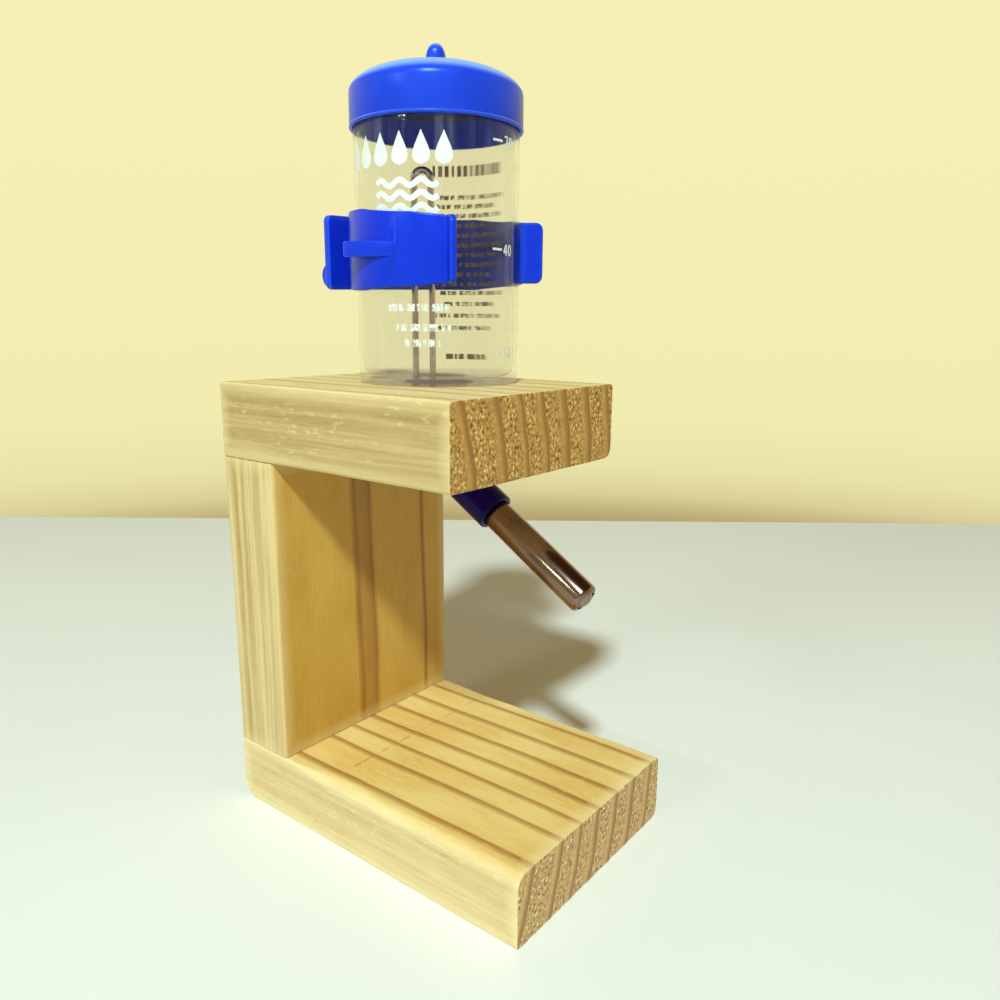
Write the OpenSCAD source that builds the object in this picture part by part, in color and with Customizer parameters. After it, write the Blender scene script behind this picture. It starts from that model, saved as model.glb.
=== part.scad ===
// Small-animal drinking bottle on a C-shaped wooden stand.
// A clear bottle drops through a hole in the top board, and its angled steel
// spout points out over the base. A C-shaped clip with a cage hook grips it.
// Frame: +Z up, -Y is the spout's side, origin under the middle of the base.

/* [Stand] */
// Width of the three boards, along X
board_w = 64; // [50:1:90]
// Length of the base board, along Y
base_len = 97; // [92:1:150]
// Thickness of the base board
base_t = 17.7; // [15:0.1:24]
// Thickness of the post board
post_t = 19.4; // [15:0.1:24]
// Height of the post between the two level boards
post_h = 80.2; // [75:0.1:120]
// Length of the top board, along Y
top_len = 78.5; // [76:0.5:96]
// Thickness of the top board
top_t = 19.3; // [17:0.1:24]
// Radius of the eased long edges
edge_r = 1.6; // [0.5:0.1:3]
// Radius of the base's rear lower edge
heel_r = 6; // [2:0.5:8]
// Radius of the hole for the bottle's neck
neck_hole_r = 13.5; // [13:0.1:15]

/* [Stand fasteners] */
// Distance between the two screws, and between the two dowels
fastener_gap = 34; // [26:1:36]
// Length of a wood screw
screw_len = 40; // [35:1:50]
// Radius of a screw's countersunk head
screw_head_r = 4; // [3.5:0.1:4.5]
// Radius of a screw's core
screw_core_r = 1.5; // [1.2:0.1:1.7]
// Radius over a screw's thread
screw_thread_r = 2.1; // [1.9:0.1:2.3]
// Pitch of a screw's thread
screw_pitch = 2; // [1.5:0.1:2.5]
// Radius of a dowel
dowel_r = 4; // [3:0.5:5]
// Length of a dowel
dowel_len = 28; // [20:1:30]

/* [Bottle] */
// Distance of the bottle's axis from the stand's middle, along X
bottle_x = 7.3; // [0:0.1:8]
// Distance of the bottle's axis from the stand's middle, along Y
bottle_y = 8.3; // [4:0.1:10]
// Outer radius of the bottle
bottle_r = 20.6; // [20:0.1:21]
// Thickness of the bottle's wall
bottle_wall = 1.1; // [0.8:0.1:1.4]
// Height of the bottle's mouth above the top board
bottle_h = 68; // [66:0.5:68]
// Thickness of the bottle's floor
bottle_floor = 1.6; // [1.2:0.1:2.5]
// Outer radius of the neck below the floor
neck_r = 9; // [8.5:0.1:9.2]
// Radius of the neck's bore
neck_bore_r = 7.2; // [7:0.1:7.3]
// Length of the neck below the top board's upper face
neck_len = 14.4; // [14:0.1:15]

/* [Lid] */
// Outer radius of the lid at its lower rim
lid_r = 21.5; // [21.4:0.1:22]
// Height of the lid's lower rim above the top board
lid_rim_h = 61; // [60:0.5:61]
// Height of the lid's straight side
lid_side_h = 8; // [8:0.1:10]
// Height of the dome above the straight side
lid_dome_h = 6.4; // [6:0.1:8]
// How far in from the side the dome's curve reaches
lid_dome_reach = 18; // [16:0.5:20]
// Thickness of the lid
lid_wall = 1.3; // [1:0.1:1.6]
// Height of the pull tab above the dome
tab_h = 5.6; // [3:0.1:7]
// Thickness of the pull tab
tab_t = 5.2; // [4:0.1:6]
// Length of the pull tab
tab_len = 9; // [6:0.5:12]
// Thickness of the lid's gasket
gasket_t = 1.2; // [1:0.1:1.5]

/* [Spout] */
// Fall of the spout below the level, in degrees
spout_fall = 32.5; // [25:0.5:40]
// Depth of the elbow's corner below the underside of the top board
elbow_drop = 1.1; // [0.5:0.1:2]
// Outer radius of the elbow's sleeve
sleeve_r = 5.2; // [5:0.1:5.6]
// Distance from the elbow's corner to the sleeve's end
sleeve_len = 23; // [20:0.5:26]
// Outer radius of the steel tube
tube_r = 4; // [3.8:0.1:4.2]
// Thickness of the steel tube's wall
tube_wall = 0.5; // [0.4:0.1:0.5]
// Length of the steel tube that stands out of the sleeve
tube_out = 33; // [28:0.5:40]
// Length of the steel tube inside the sleeve
tube_in = 13; // [10:0.5:14]
// Radius of a valve ball
ball_r = 3.15; // [3.1:0.05:3.2]
// Radius of the opening at the tube's tip
tip_open_r = 2.6; // [2.4:0.05:2.7]
// Radius of the outlet wire
wire_r = 0.85; // [0.6:0.05:1]
// Distance between the outlet wire's two legs
wire_gap = 4.2; // [3.6:0.1:4.2]
// Height of the outlet wire's bend above the top board
wire_h = 53; // [30:1:55]

/* [Clip] */
// Height of the clip's middle above the top board
clip_mid_h = 32.7; // [20:0.2:40]
// Radial gap between the clip and the bottle
clip_gap = 0.1; // [0.05:0.01:0.1]
// Thickness of the clip's band
band_t = 1.5; // [1.2:0.1:2]
// Height of the band at its back
band_h_back = 18.8; // [16:0.1:22]
// Height of the band at its two tips
band_h_tip = 15.4; // [12:0.1:16]
// Half of the gap between the tips, in degrees
tip_angle = 38.6; // [30:0.2:45]
// Radius out to which the two lips flare
lip_reach = 26.8; // [25:0.2:29]
// Width of the back plate
plate_w = 28; // [20:0.5:32]
// Thickness of the back plate
plate_t = 2; // [1.6:0.1:3]
// Distance from the bottle's axis to the back plate's near face
plate_y = 25.4; // [24.6:0.1:27]
// Radius of the half-round cage rail behind the back plate
rail_r = 3.3; // [3:0.1:4]
// Height of the two finger ribs
rib_h = 3.9; // [2.4:0.1:4.5]

/* [Hidden] */

$fn = 96;
eps = 0.01;                       // how far a cutter runs past a face

// Heights of the stand's faces
post_z = base_t;
top_z = base_t + post_h;
deck_z = top_z + top_t;
back_y = base_len / 2;
post_mid_y = back_y - post_t / 2;

// Screws and dowels
fit_gap = 0.05;                   // radial gap round a screw or a dowel
screw_shank_r = screw_core_r + 0.2;   // radius of a screw's plain shank
screw_cone_h = 2.6;               // height of the head's cone
head_sink = 0.4;                  // depth of a screw's head below the base
head_edge = 0.4;                  // thickness of the head's straight edge
bore_spare = 1;                   // space past a screw's tip
drive_w = 1;                      // width of the head's cross slots
drive_turn = 20;                  // direction of the cross slots
drive_len = 4.6;                  // length of the head's cross slots
drive_depth = 1.5;                // depth of the head's cross slots
dowel_play = 0.5;                 // space past each end of a dowel
flute_count = 12;
flute_r = 0.35;

// Bottle
bottle_mouth_z = deck_z + bottle_h;
bottle_foot_r = 1.4;              // outer radius at the bottle's foot
bottle_cove_r = 3;                // inner radius round the bottle's floor
neck_end_z = deck_z - neck_len;
neck_turn_pitch = 2.6;            // pitch of the neck's thread rings
neck_thread = 0.5;                // how far a thread ring stands out
neck_thread_turns = 3;

// Lid
lid_rim_z = deck_z + lid_rim_h;
lid_side_z = lid_rim_z + lid_side_h;
lid_top_z = lid_side_z + lid_dome_h;
lid_draft = 0.15;                 // how far the side leans in
lid_fit = 0.08;                   // radial gap between the skirt and the bottle
gasket_in_r = bottle_r - 3;
gasket_out_r = bottle_r - 0.2;
lid_bead_r = 0.45;                // radius of the bead round the lower rim
bead_stand = 0.02;                // how far the bead stands out of the side
crown_reach = 14;                 // how far in the dome's inner curve reaches
tab_turn = -52;                   // direction of the pull tab, in degrees
tab_top_r = 1.9;                  // radius of the tab's rounded top
dome_step = 5;                    // angle between points on the dome
tab_root = 1;                     // how deep the tab starts in the dome

// Spout and elbow
elbow_z = top_z - elbow_drop;
collar_gap = 0.15;                // radial gap over the neck's thread
collar_wall = 1.5;
thread_room_r = neck_r + neck_thread + collar_gap;
collar_r = thread_room_r + collar_wall;
collar_h = 10;
washer_t = 1.5;
collar_floor_t = 2;
collar_floor_z = neck_end_z - washer_t;
passage_r = 2.8;                  // radius of the water passage in the elbow
tube_fit = 0.02;                  // radial gap between the tube and its sleeve
sleeve_chamfer = 0.6;             // chamfer round the sleeve's end
tip_round_r = tube_r - tip_open_r;   // radius of the tube's rolled tip
tip_step = 10;                    // angle between points on the rolled tip
tube_start = sleeve_len - tube_in;
tube_end = sleeve_len + tube_out;
seat_back = tube_wall + sqrt(ball_r * ball_r - tip_open_r * tip_open_r);
ball_seat_gap = 0.03;             // gap between the front ball and its seat
ball_gap = 0.05;                  // gap between the two balls
ball_front_s = tube_end - seat_back - ball_seat_gap;
ball_rear_s = ball_front_s - 2 * ball_r - ball_gap;

// Outlet wire, stood in the neck to one side of the axis
wire_turn = -52;                  // direction that the wire's flat faces
wire_side = -3.7;
wire_fore = -1.4;
wire_lift = 0.2;                  // gap between the wire's feet and the elbow

// Clip
clip_mid_z = deck_z + clip_mid_h;
band_in_r = bottle_r + clip_gap;
band_out_r = band_in_r + band_t;
clip_neck_w = 11;                 // width of the block joining band and plate
clip_neck_h = 14;
lip_t = 1.6;
lip_corner_r = 1.9;
rib_lean = 13;                    // angle at which a rib's edge leaves the band
rib_back_y = 8.6;                 // where a rib ends, behind the axis
rib_front = (band_out_r - 0.1) * [cos(rib_lean), -sin(rib_lean)];
rib_back = [rib_front[0] + (rib_back_y - rib_front[1]) * tan(rib_lean), rib_back_y];
rib_root_x = 15;
taper_rear_y = 8;                 // where the band starts to get lower, behind the axis
taper_mid_y = -9;                 // where most of that taper is done
band_h_mid = 15.7;                // height of the band there
plate_corner_r = 1.6;
rail_slot_w = 1.5;                // slot through the rail, along X
rail_slot_h = 4;
rail_lift = 0.3;                  // rise of the rail from the plate's lower edge
rail_root = 0.5;                  // how deep the rail starts in the plate

// ---- shared shapes ----

// A rectangle with rounded corners, centred on X and Y
module rounded_rect(w, h, r) {
    square([w - 2 * r, h], center = true);
    square([w, h - 2 * r], center = true);
    for (sx = [-1, 1], sy = [-1, 1])
        translate([sx * (w / 2 - r), sy * (h / 2 - r)]) circle(r = r, $fn = 32);
}

// A board with four eased long edges, lying along Y from y0 to y1
module level_board(w, t, y0, y1, z0) {
    translate([0, y1, z0 + t / 2])
        rotate([90, 0, 0])
            linear_extrude(y1 - y0)
                rounded_rect(w, t, edge_r);
}

module at_bottle() {
    translate([bottle_x, bottle_y, 0]) children();
}

// Places children with +Z running down the spout from the elbow's corner
module along_spout() {
    translate([bottle_x, bottle_y, elbow_z])
        rotate([90 + spout_fall, 0, 0])
            children();
}

// The outline of a screw's body, tip at the bottom, for one half
module screw_outline() {
    tip = 5;
    crest = 0.4;
    turns = floor((screw_len - tip - screw_head_r - 2) / screw_pitch);
    thread_top = tip + turns * screw_pitch;
    polygon(concat(
        [[0, 0], [screw_core_r, tip]],
        [for (i = [0 : turns - 1], k = [0, 1])
            k == 0 ? [screw_core_r, tip + i * screw_pitch]
                   : [screw_thread_r, tip + (i + crest) * screw_pitch]],
        [[screw_core_r, thread_top], [screw_shank_r, thread_top + crest],
         [screw_shank_r, screw_len - head_edge - screw_cone_h],
         [screw_head_r, screw_len - head_edge], [screw_head_r, screw_len], [0, screw_len]]));
}

// ---- stand ----

module screw_places() {
    for (sx = [-1, 1]) translate([sx * fastener_gap / 2, post_mid_y, 0]) children();
}

// The space that a base screw fills, from below
module screw_bore() {
    head_h = head_sink + head_edge;
    translate([0, 0, -eps])
        cylinder(r = screw_thread_r + fit_gap, h = screw_len + head_sink + bore_spare);
    translate([0, 0, head_h])
        cylinder(r1 = screw_head_r + fit_gap, r2 = screw_shank_r + fit_gap, h = screw_cone_h);
    translate([0, 0, -eps]) cylinder(r = screw_head_r + fit_gap, h = head_h + 2 * eps);
}

module base_board() color([0.86, 0.74, 0.50]) {
    difference() {
        intersection() {
            level_board(board_w, base_t, -back_y, back_y, 0);
            translate([-board_w / 2, 0, 0]) rotate([90, 0, 90]) linear_extrude(board_w) {
                translate([-back_y, 0]) square([base_len - heel_r, base_t]);
                translate([back_y - heel_r - eps, heel_r]) square([heel_r + eps, base_t - heel_r]);
                translate([back_y - heel_r, heel_r]) circle(r = heel_r);
            }
        }
        screw_places() screw_bore();
    }
}

module post_board() color([0.84, 0.71, 0.46]) {
    difference() {
        translate([0, post_mid_y, post_z])
            linear_extrude(post_h) rounded_rect(board_w, post_t, edge_r);
        screw_places() screw_bore();
        screw_places() dowel_bore();
    }
}

module top_board() color([0.86, 0.74, 0.50]) {
    difference() {
        level_board(board_w, top_t, back_y - top_len, back_y, top_z);
        screw_places() dowel_bore();
        at_bottle() translate([0, 0, top_z - eps]) cylinder(r = neck_hole_r, h = top_t + 2 * eps);
    }
}

// The blind hole that a dowel fills, across the joint of post and top board
module dowel_bore() {
    translate([0, 0, top_z - dowel_len / 2 - dowel_play])
        cylinder(r = dowel_r + fit_gap, h = dowel_len + 2 * dowel_play);
}

// One wood screw, driven up through the base into the post
module base_screw(side) color([0.72, 0.70, 0.64]) {
    translate([side * fastener_gap / 2, post_mid_y, head_sink])
        difference() {
            translate([0, 0, screw_len]) rotate([180, 0, 0])
                rotate_extrude($fn = 32) screw_outline();
            for (a = [0, 90]) rotate([0, 0, a + drive_turn])
                translate([-drive_len / 2, -drive_w / 2, -eps])
                    cube([drive_len, drive_w, drive_depth]);
        }
}

// One fluted dowel between the post and the top board
module top_dowel(side) color([0.80, 0.66, 0.44]) {
    chamfer = 1;
    translate([side * fastener_gap / 2, post_mid_y, top_z - dowel_len / 2])
        difference() {
            union() {
                cylinder(r1 = dowel_r - chamfer, r2 = dowel_r, h = chamfer);
                translate([0, 0, chamfer]) cylinder(r = dowel_r, h = dowel_len - 2 * chamfer);
                translate([0, 0, dowel_len - chamfer])
                    cylinder(r1 = dowel_r, r2 = dowel_r - chamfer, h = chamfer);
            }
            for (i = [0 : flute_count - 1]) rotate([0, 0, i * 360 / flute_count])
                translate([dowel_r, 0, -eps]) cylinder(r = flute_r, h = dowel_len + 2 * eps, $fn = 16);
        }
}

// ---- bottle ----

// The bottle's section: clear wall, rounded foot, floor and threaded neck
module bottle_section() {
    floor_z = deck_z + bottle_floor;
    in_r = bottle_r - bottle_wall;
    difference() {
        union() {
            translate([0, deck_z + bottle_foot_r]) square([bottle_r, bottle_h - bottle_foot_r]);
            translate([0, deck_z]) square([bottle_r - bottle_foot_r, bottle_foot_r + eps]);
            translate([bottle_r - bottle_foot_r, deck_z + bottle_foot_r])
                circle(r = bottle_foot_r, $fn = 48);
            translate([0, neck_end_z]) square([neck_r, neck_len + eps]);
            for (i = [0 : neck_thread_turns - 1])
                translate([neck_r - eps, neck_end_z + 1 + i * neck_turn_pitch])
                    polygon([[0, 0], [neck_thread, 0.4], [neck_thread, 0.9], [0, 1.3]]);
        }
        translate([0, floor_z + bottle_cove_r]) square([in_r, bottle_h]);
        translate([0, floor_z]) square([in_r - bottle_cove_r, bottle_cove_r + eps]);
        translate([in_r - bottle_cove_r, floor_z + bottle_cove_r])
            circle(r = bottle_cove_r, $fn = 48);
        translate([0, neck_end_z - eps]) square([neck_bore_r, neck_len + bottle_floor + 2 * eps]);
        translate([-bottle_r, 0]) square([bottle_r, 2 * bottle_mouth_z]);
    }
}

module bottle_body() color([0.93, 0.94, 0.88, 0.4]) {
    at_bottle() rotate_extrude() bottle_section();
}

// Points on a dome: a quarter ellipse from the crown down to radius r at height z
function dome_points(r, z, reach, rise) =
    [for (a = [90 : -dome_step : 0]) [r - reach + reach * cos(a), z + rise * sin(a)]];

module lid_shell() {
    ceiling_z = bottle_mouth_z + gasket_t;
    rotate_extrude()
        difference() {
            union() {
                polygon(concat(
                    [[0, lid_top_z]],
                    dome_points(lid_r - lid_draft, lid_side_z, lid_dome_reach, lid_dome_h),
                    [[lid_r - bead_stand, lid_rim_z + lid_bead_r], [0, lid_rim_z + lid_bead_r]]));
                translate([lid_r - lid_bead_r, lid_rim_z + lid_bead_r])
                    circle(r = lid_bead_r, $fn = 24);
                translate([bottle_r, lid_rim_z]) square([lid_r - lid_bead_r - bottle_r, lid_bead_r + eps]);
            }
            translate([0, lid_rim_z - 1]) square([bottle_r + lid_fit, ceiling_z - lid_rim_z + 1]);
            polygon(concat(
                [[0, lid_top_z - lid_wall]],
                dome_points(gasket_in_r, ceiling_z, crown_reach, lid_top_z - lid_wall - ceiling_z),
                [[gasket_in_r, ceiling_z - 1], [0, ceiling_z - 1]]));
        }
}

// The pull tab: a short upright fin with a rounded top and tapered flanks
module lid_tab() {
    top = tab_root + tab_h - tab_top_r;
    translate([0, 0, lid_top_z - tab_root]) rotate([0, 0, tab_turn]) rotate([90, 0, 0])
        translate([0, 0, -tab_len / 2]) linear_extrude(tab_len) {
            polygon([[-tab_t / 2, 0], [tab_t / 2, 0], [tab_top_r, top], [-tab_top_r, top]]);
            translate([0, top]) circle(r = tab_top_r, $fn = 32);
        }
}

module lid() color([0.10, 0.27, 0.88]) {
    at_bottle() {
        lid_shell();
        lid_tab();
    }
}

module lid_gasket() color([0.85, 0.85, 0.82]) {
    at_bottle() translate([0, 0, bottle_mouth_z])
        rotate_extrude() translate([gasket_in_r, 0]) square([gasket_out_r - gasket_in_r, gasket_t]);
}

// ---- outlet and spout ----

module outlet_elbow() color([0.11, 0.08, 0.52]) {
    difference() {
        union() {
            at_bottle() translate([0, 0, collar_floor_z - collar_floor_t])
                cylinder(r = collar_r, h = collar_h);
            at_bottle() translate([0, 0, elbow_z])
                cylinder(r = sleeve_r, h = collar_floor_z - elbow_z);
            at_bottle() translate([0, 0, elbow_z]) sphere(r = sleeve_r);
            along_spout() cylinder(r = sleeve_r, h = sleeve_len - sleeve_chamfer);
            along_spout() translate([0, 0, sleeve_len - sleeve_chamfer])
                cylinder(r1 = sleeve_r, r2 = sleeve_r - sleeve_chamfer, h = sleeve_chamfer);
        }
        at_bottle() translate([0, 0, collar_floor_z]) cylinder(r = thread_room_r, h = collar_h);
        at_bottle() translate([0, 0, elbow_z]) cylinder(r = passage_r, h = collar_floor_z - elbow_z + eps);
        at_bottle() translate([0, 0, elbow_z]) sphere(r = passage_r);
        along_spout() cylinder(r = passage_r, h = tube_start + eps);
        along_spout() translate([0, 0, tube_start])
            cylinder(r = tube_r + tube_fit, h = tube_in + eps);
    }
}

module outlet_washer() color([0.80, 0.78, 0.72]) {
    at_bottle() translate([0, 0, collar_floor_z])
        rotate_extrude() translate([neck_bore_r, 0]) square([neck_r - neck_bore_r, washer_t]);
}

// A hairpin of wire, with both legs standing in the neck
module outlet_wire() color([0.62, 0.58, 0.56]) {
    bend_r = wire_gap / 2;
    leg_z = collar_floor_z + wire_lift;
    bend_z = deck_z + wire_h - bend_r - wire_r;
    at_bottle() rotate([0, 0, wire_turn]) translate([wire_side, wire_fore, 0]) {
        for (sx = [-1, 1]) translate([sx * bend_r, 0, leg_z])
            cylinder(r = wire_r, h = bend_z - leg_z, $fn = 24);
        translate([0, 0, bend_z]) rotate([90, 0, 0])
            rotate_extrude(angle = 180, $fn = 48) translate([bend_r, 0]) circle(r = wire_r, $fn = 24);
    }
}

// The steel tube, with its tip rolled in to hold the front ball
module drink_tube() color([0.66, 0.60, 0.55]) {
    in_r = tube_r - tube_wall;
    roll_in_r = tip_round_r - tube_wall;
    along_spout() rotate_extrude()
        polygon(concat(
            [[in_r, tube_start + eps], [tube_r, tube_start + eps]],
            [for (a = [0 : tip_step : 90])
                [tube_r - tip_round_r + tip_round_r * cos(a), tube_end - tip_round_r + tip_round_r * sin(a)]],
            [for (a = [90 : -tip_step : 0])
                [tube_r - tip_round_r + roll_in_r * cos(a), tube_end - tip_round_r + roll_in_r * sin(a)]]));
}

module valve_ball(s) color([0.75, 0.74, 0.72]) {
    along_spout() translate([0, 0, s]) sphere(r = ball_r);
}

// ---- clip ----

// The band's side view: full height at the back, lower and rounded at the lips
module band_side() {
    tip_y = -band_in_r * cos(tip_angle);
    front_y = -lip_reach * cos(tip_angle);
    rear_y = band_out_r + 1;
    tip_half = band_h_tip / 2;
    polygon([[front_y + lip_corner_r, -tip_half], [tip_y, -tip_half],
             [taper_mid_y, -band_h_mid / 2], [taper_rear_y, -band_h_back / 2],
             [rear_y, -band_h_back / 2], [rear_y, band_h_back / 2],
             [taper_rear_y, band_h_back / 2], [taper_mid_y, band_h_mid / 2],
             [tip_y, tip_half], [front_y + lip_corner_r, tip_half]]);
    translate([front_y, lip_corner_r - tip_half])
        square([2 * lip_corner_r, band_h_tip - 2 * lip_corner_r]);
    for (sz = [-1, 1])
        translate([front_y + lip_corner_r, sz * (tip_half - lip_corner_r)])
            circle(r = lip_corner_r, $fn = 32);
}

// The band's plan: a ring and two radial lips, with a wedge cut out between the tips
module band_plan() {
    far = 3 * band_out_r;
    difference() {
        union() {
            circle(r = band_out_r);
            for (side = [-1, 1]) rotate(side * tip_angle - 90)
                translate([0, -lip_t]) square([lip_reach, 2 * lip_t]);
        }
        circle(r = band_in_r);
        polygon([[0, 0], [-far * sin(tip_angle), -far * cos(tip_angle)],
                 [far * sin(tip_angle), -far * cos(tip_angle)]]);
    }
}

// The band with its lips: the plan cut to the side view
module clip_band() {
    intersection() {
        translate([0, 0, clip_mid_z - band_h_back / 2 - 1])
            linear_extrude(band_h_back + 2) band_plan();
        translate([-lip_reach, 0, clip_mid_z]) rotate([90, 0, 90])
            linear_extrude(2 * lip_reach) band_side();
    }
}

// The two finger ribs, whose straight edges leave the band at a tangent
module finger_ribs() {
    for (side = [0, 1]) mirror([side, 0, 0])
        translate([0, 0, clip_mid_z - rib_h / 2]) linear_extrude(rib_h)
            difference() {
                polygon([rib_front, rib_back, [rib_root_x, rib_back[1]], [rib_root_x, rib_front[1]]]);
                circle(r = band_in_r + band_t / 2);
            }
}

// The back plate, its block to the band, and the slotted rail behind it
module back_plate() {
    rail_z = clip_mid_z - band_h_back / 2 + rail_r + rail_lift;
    plate_back_y = plate_y + plate_t;
    block_y = band_out_r - 1;
    translate([-clip_neck_w / 2, block_y, clip_mid_z - clip_neck_h / 2])
        cube([clip_neck_w, plate_y - block_y + eps, clip_neck_h]);
    translate([0, plate_back_y, clip_mid_z]) rotate([90, 0, 0])
        linear_extrude(plate_t) rounded_rect(plate_w, band_h_back, plate_corner_r);
    translate([-plate_w / 2 + plate_corner_r, plate_back_y, rail_z]) rotate([90, 0, 90])
        linear_extrude(plate_w - 2 * plate_corner_r) difference() {
            circle(r = rail_r, $fn = 48);
            translate([-2 * rail_r - rail_root, -2 * rail_r]) square([2 * rail_r, 4 * rail_r]);
            translate([-rail_root / 2, -rail_slot_h / 2])
                square([rail_root / 2 + rail_slot_w, rail_slot_h]);
        }
}

module bottle_clip() color([0.10, 0.27, 0.88]) {
    at_bottle() {
        clip_band();
        finger_ribs();
        back_plate();
    }
}

base_board();
post_board();
top_board();
base_screw(-1);  // base_screw_left
base_screw(1);  // base_screw_right
top_dowel(-1);  // top_dowel_left
top_dowel(1);  // top_dowel_right
bottle_body();
lid();
lid_gasket();
outlet_elbow();
outlet_washer();
outlet_wire();
drink_tube();
valve_ball(ball_front_s);  // ball_front
valve_ball(ball_rear_s);  // ball_rear
bottle_clip();
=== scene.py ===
"""Looks of a small-animal drinking bottle that stands on a C-shaped wooden stand.

Lengths in this file are millimetres in the part's own frame, unless a line says metres.
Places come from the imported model's boxes, through node_box().
"""
import math

import bmesh
import bpy
from mathutils import Matrix, Vector, noise


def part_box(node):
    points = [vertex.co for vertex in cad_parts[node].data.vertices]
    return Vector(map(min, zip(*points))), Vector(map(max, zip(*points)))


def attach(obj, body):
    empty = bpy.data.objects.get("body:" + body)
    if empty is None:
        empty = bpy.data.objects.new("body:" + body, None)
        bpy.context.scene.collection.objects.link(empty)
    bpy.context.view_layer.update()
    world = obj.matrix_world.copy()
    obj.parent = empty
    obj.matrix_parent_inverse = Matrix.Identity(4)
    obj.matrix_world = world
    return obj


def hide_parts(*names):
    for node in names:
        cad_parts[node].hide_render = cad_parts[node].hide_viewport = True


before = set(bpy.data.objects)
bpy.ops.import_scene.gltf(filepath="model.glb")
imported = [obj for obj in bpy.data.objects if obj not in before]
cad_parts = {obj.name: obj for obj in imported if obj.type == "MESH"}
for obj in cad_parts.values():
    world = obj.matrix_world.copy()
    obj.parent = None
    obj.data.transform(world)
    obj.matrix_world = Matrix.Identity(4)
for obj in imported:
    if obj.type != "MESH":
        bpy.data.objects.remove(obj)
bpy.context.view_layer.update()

MM = 0.001                       # metres in a millimetre
TINY = 1e-6


def node_box(*nodes):
    """Lowest and highest corner of some CAD nodes, in millimetres."""
    corners = [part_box(node) for node in nodes]
    low = Vector(min(c[0][i] for c in corners) for i in range(3)) / MM
    high = Vector(max(c[1][i] for c in corners) for i in range(3)) / MM
    return low, high


# Bottle
bottle_low, bottle_high = node_box("bottle_body")
NECK_END, MOUTH = bottle_low.z, bottle_high.z
AXIS = Vector(((bottle_low.x + bottle_high.x) / 2, (bottle_low.y + bottle_high.y) / 2, 0))
ON_AXIS = Matrix.Translation(AXIS)
BOTTLE_R = (bottle_high.x - bottle_low.x) / 2
WALL = 1.1                       # thickness of the clear wall
FLOOR = 1.6                      # thickness of the bottle's floor
FOOT_R = 1.4                     # outer rounding at the foot
COVE_R = 3.0                     # inner rounding round the floor
MOUTH_R = 0.35                   # rounding of the mouth's edges
NECK_R = 9.0
NECK_BORE = 7.2
NECK_LEN = 14.4
NECK_COVE = 0.6                  # rounding between neck and floor
THREAD = 0.5                     # how far the neck's thread stands out
THREAD_PITCH = 2.6
THREAD_TURNS = 3
DECK = NECK_END + NECK_LEN       # height of the board's face that the bottle stands on
FACING = 222.0                   # direction from the bottle's axis to the middle of the print, degrees
HOLE_R = 13.5                    # hole through the top board

# Lid
LID_SIDE = 8.0                   # height of the straight side
LID_TAB = 5.6                    # height of the pull tab
LID_WALL = 1.3
LID_DRAFT = 0.15
LID_GAP = 0.08                   # between the bottle and the lid's bore
DOME_REACH = 18.0
CEILING_REACH = 14.0
GASKET_THICK = 1.2
GASKET_WIDE = 3.0
TAB_TURN = -52.0
TAB_THICK = 5.2
TAB_LEN = 9.0
TAB_ROOT = 1.2                   # how far the tab reaches into the crown
TAB_FLARE = 0.9                  # how much wider the tab is where it meets the crown

# Spout, which falls away from the elbow's corner towards -Y
SPOUT_FALL = 32.5                # degrees below the level
CORNER_DROP = 1.1                # depth of the elbow's corner below the top board
SLEEVE_R = 5.2
SLEEVE_LEN = 23.0
TUBE_R = 4.0
TUBE_WALL = 0.5
TUBE_OUT = 33.0
TUBE_IN = 13.0
TIP_ROUND = 1.4
PASSAGE_R = 2.8
COLLAR_TALL = 10.0
COLLAR_FLOOR = 2.0               # thickness of the collar's floor
WASHER = 1.5                     # thickness of the washer between neck and collar
COLLAR_RIBS = 24
RIB_R = 0.74                     # radius of a collar rib
RIB_PROUD = 0.2                  # how far the ribs stand out of the collar
RIB_MIDDLE = 0.75                # from the ribs' outside to their middle
NECK_FLARE = 0.8                 # how much the elbow's neck widens below the collar
SOCKET_GAP = 0.02                # between tube and sleeve
THREAD_GAP = 0.15                # between the neck's thread and the collar
WIRE_R = 0.85
WIRE_GAP = 4.2
WIRE_BOW = 0.12                  # how far a leg of the wire bows out

# Clip
CLIP_GAP = 0.1
BAND = 1.5                       # thickness of the band
BAND_R = BOTTLE_R + CLIP_GAP     # inner radius of the band
BAND_TIP_H = 15.0                # height of the band at its tips
BAND_MID_H = 16.7                # height of the band where most of its taper is done
TAPER = (5.0, -9.0)              # distance behind the axis where the taper starts, and is mostly done
BAND_EDGE = 0.45                 # rounding of the band's edges
CLIP_SKEW = (0.034, 0.026)       # the clip sits a little crooked: rise per millimetre of X and of Y
CLIP_SINK = 0.15                 # and a little low
TIP_ANGLE = 38.6                 # half of the gap between the tips, degrees
LIP_REACH = 26.8
LIP = 1.6                        # thickness of a lip
LIP_BEND = 1.0                   # radius where a lip leaves the band
LIP_CORNER = 1.9                 # rounding of a lip's two corners
PLATE_Y = 25.4
PLATE = 2.0
PLATE_W = 28.0
PLATE_CORNER = 1.6
PLATE_EDGE = 0.35                # rounding of the plate's edges
BLOCK = (11.0, 14.0)             # width and height of the block between band and plate
BLOCK_CORNER = 0.8
BLOCK_INTO = (0.6, 0.9)          # how far the block reaches into the plate and into the band
RAIL_R = 3.3
RAIL_ARC = 80                    # half of the rail's round crown, degrees
RAIL_INTO = 0.8                  # how far the rail reaches into the plate
RAIL_RISE = 0.3                  # height of the rail's lower side above the plate's
SLOT_HALF = 2.0                  # half of the height of the rail's slot
SLOT_DEEP = 1.5
SLOT_INTO = 0.25                 # how far the slot is cut into the plate
RIB_RISE = 0.2                   # height of the ribs' middle above the band's
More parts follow.
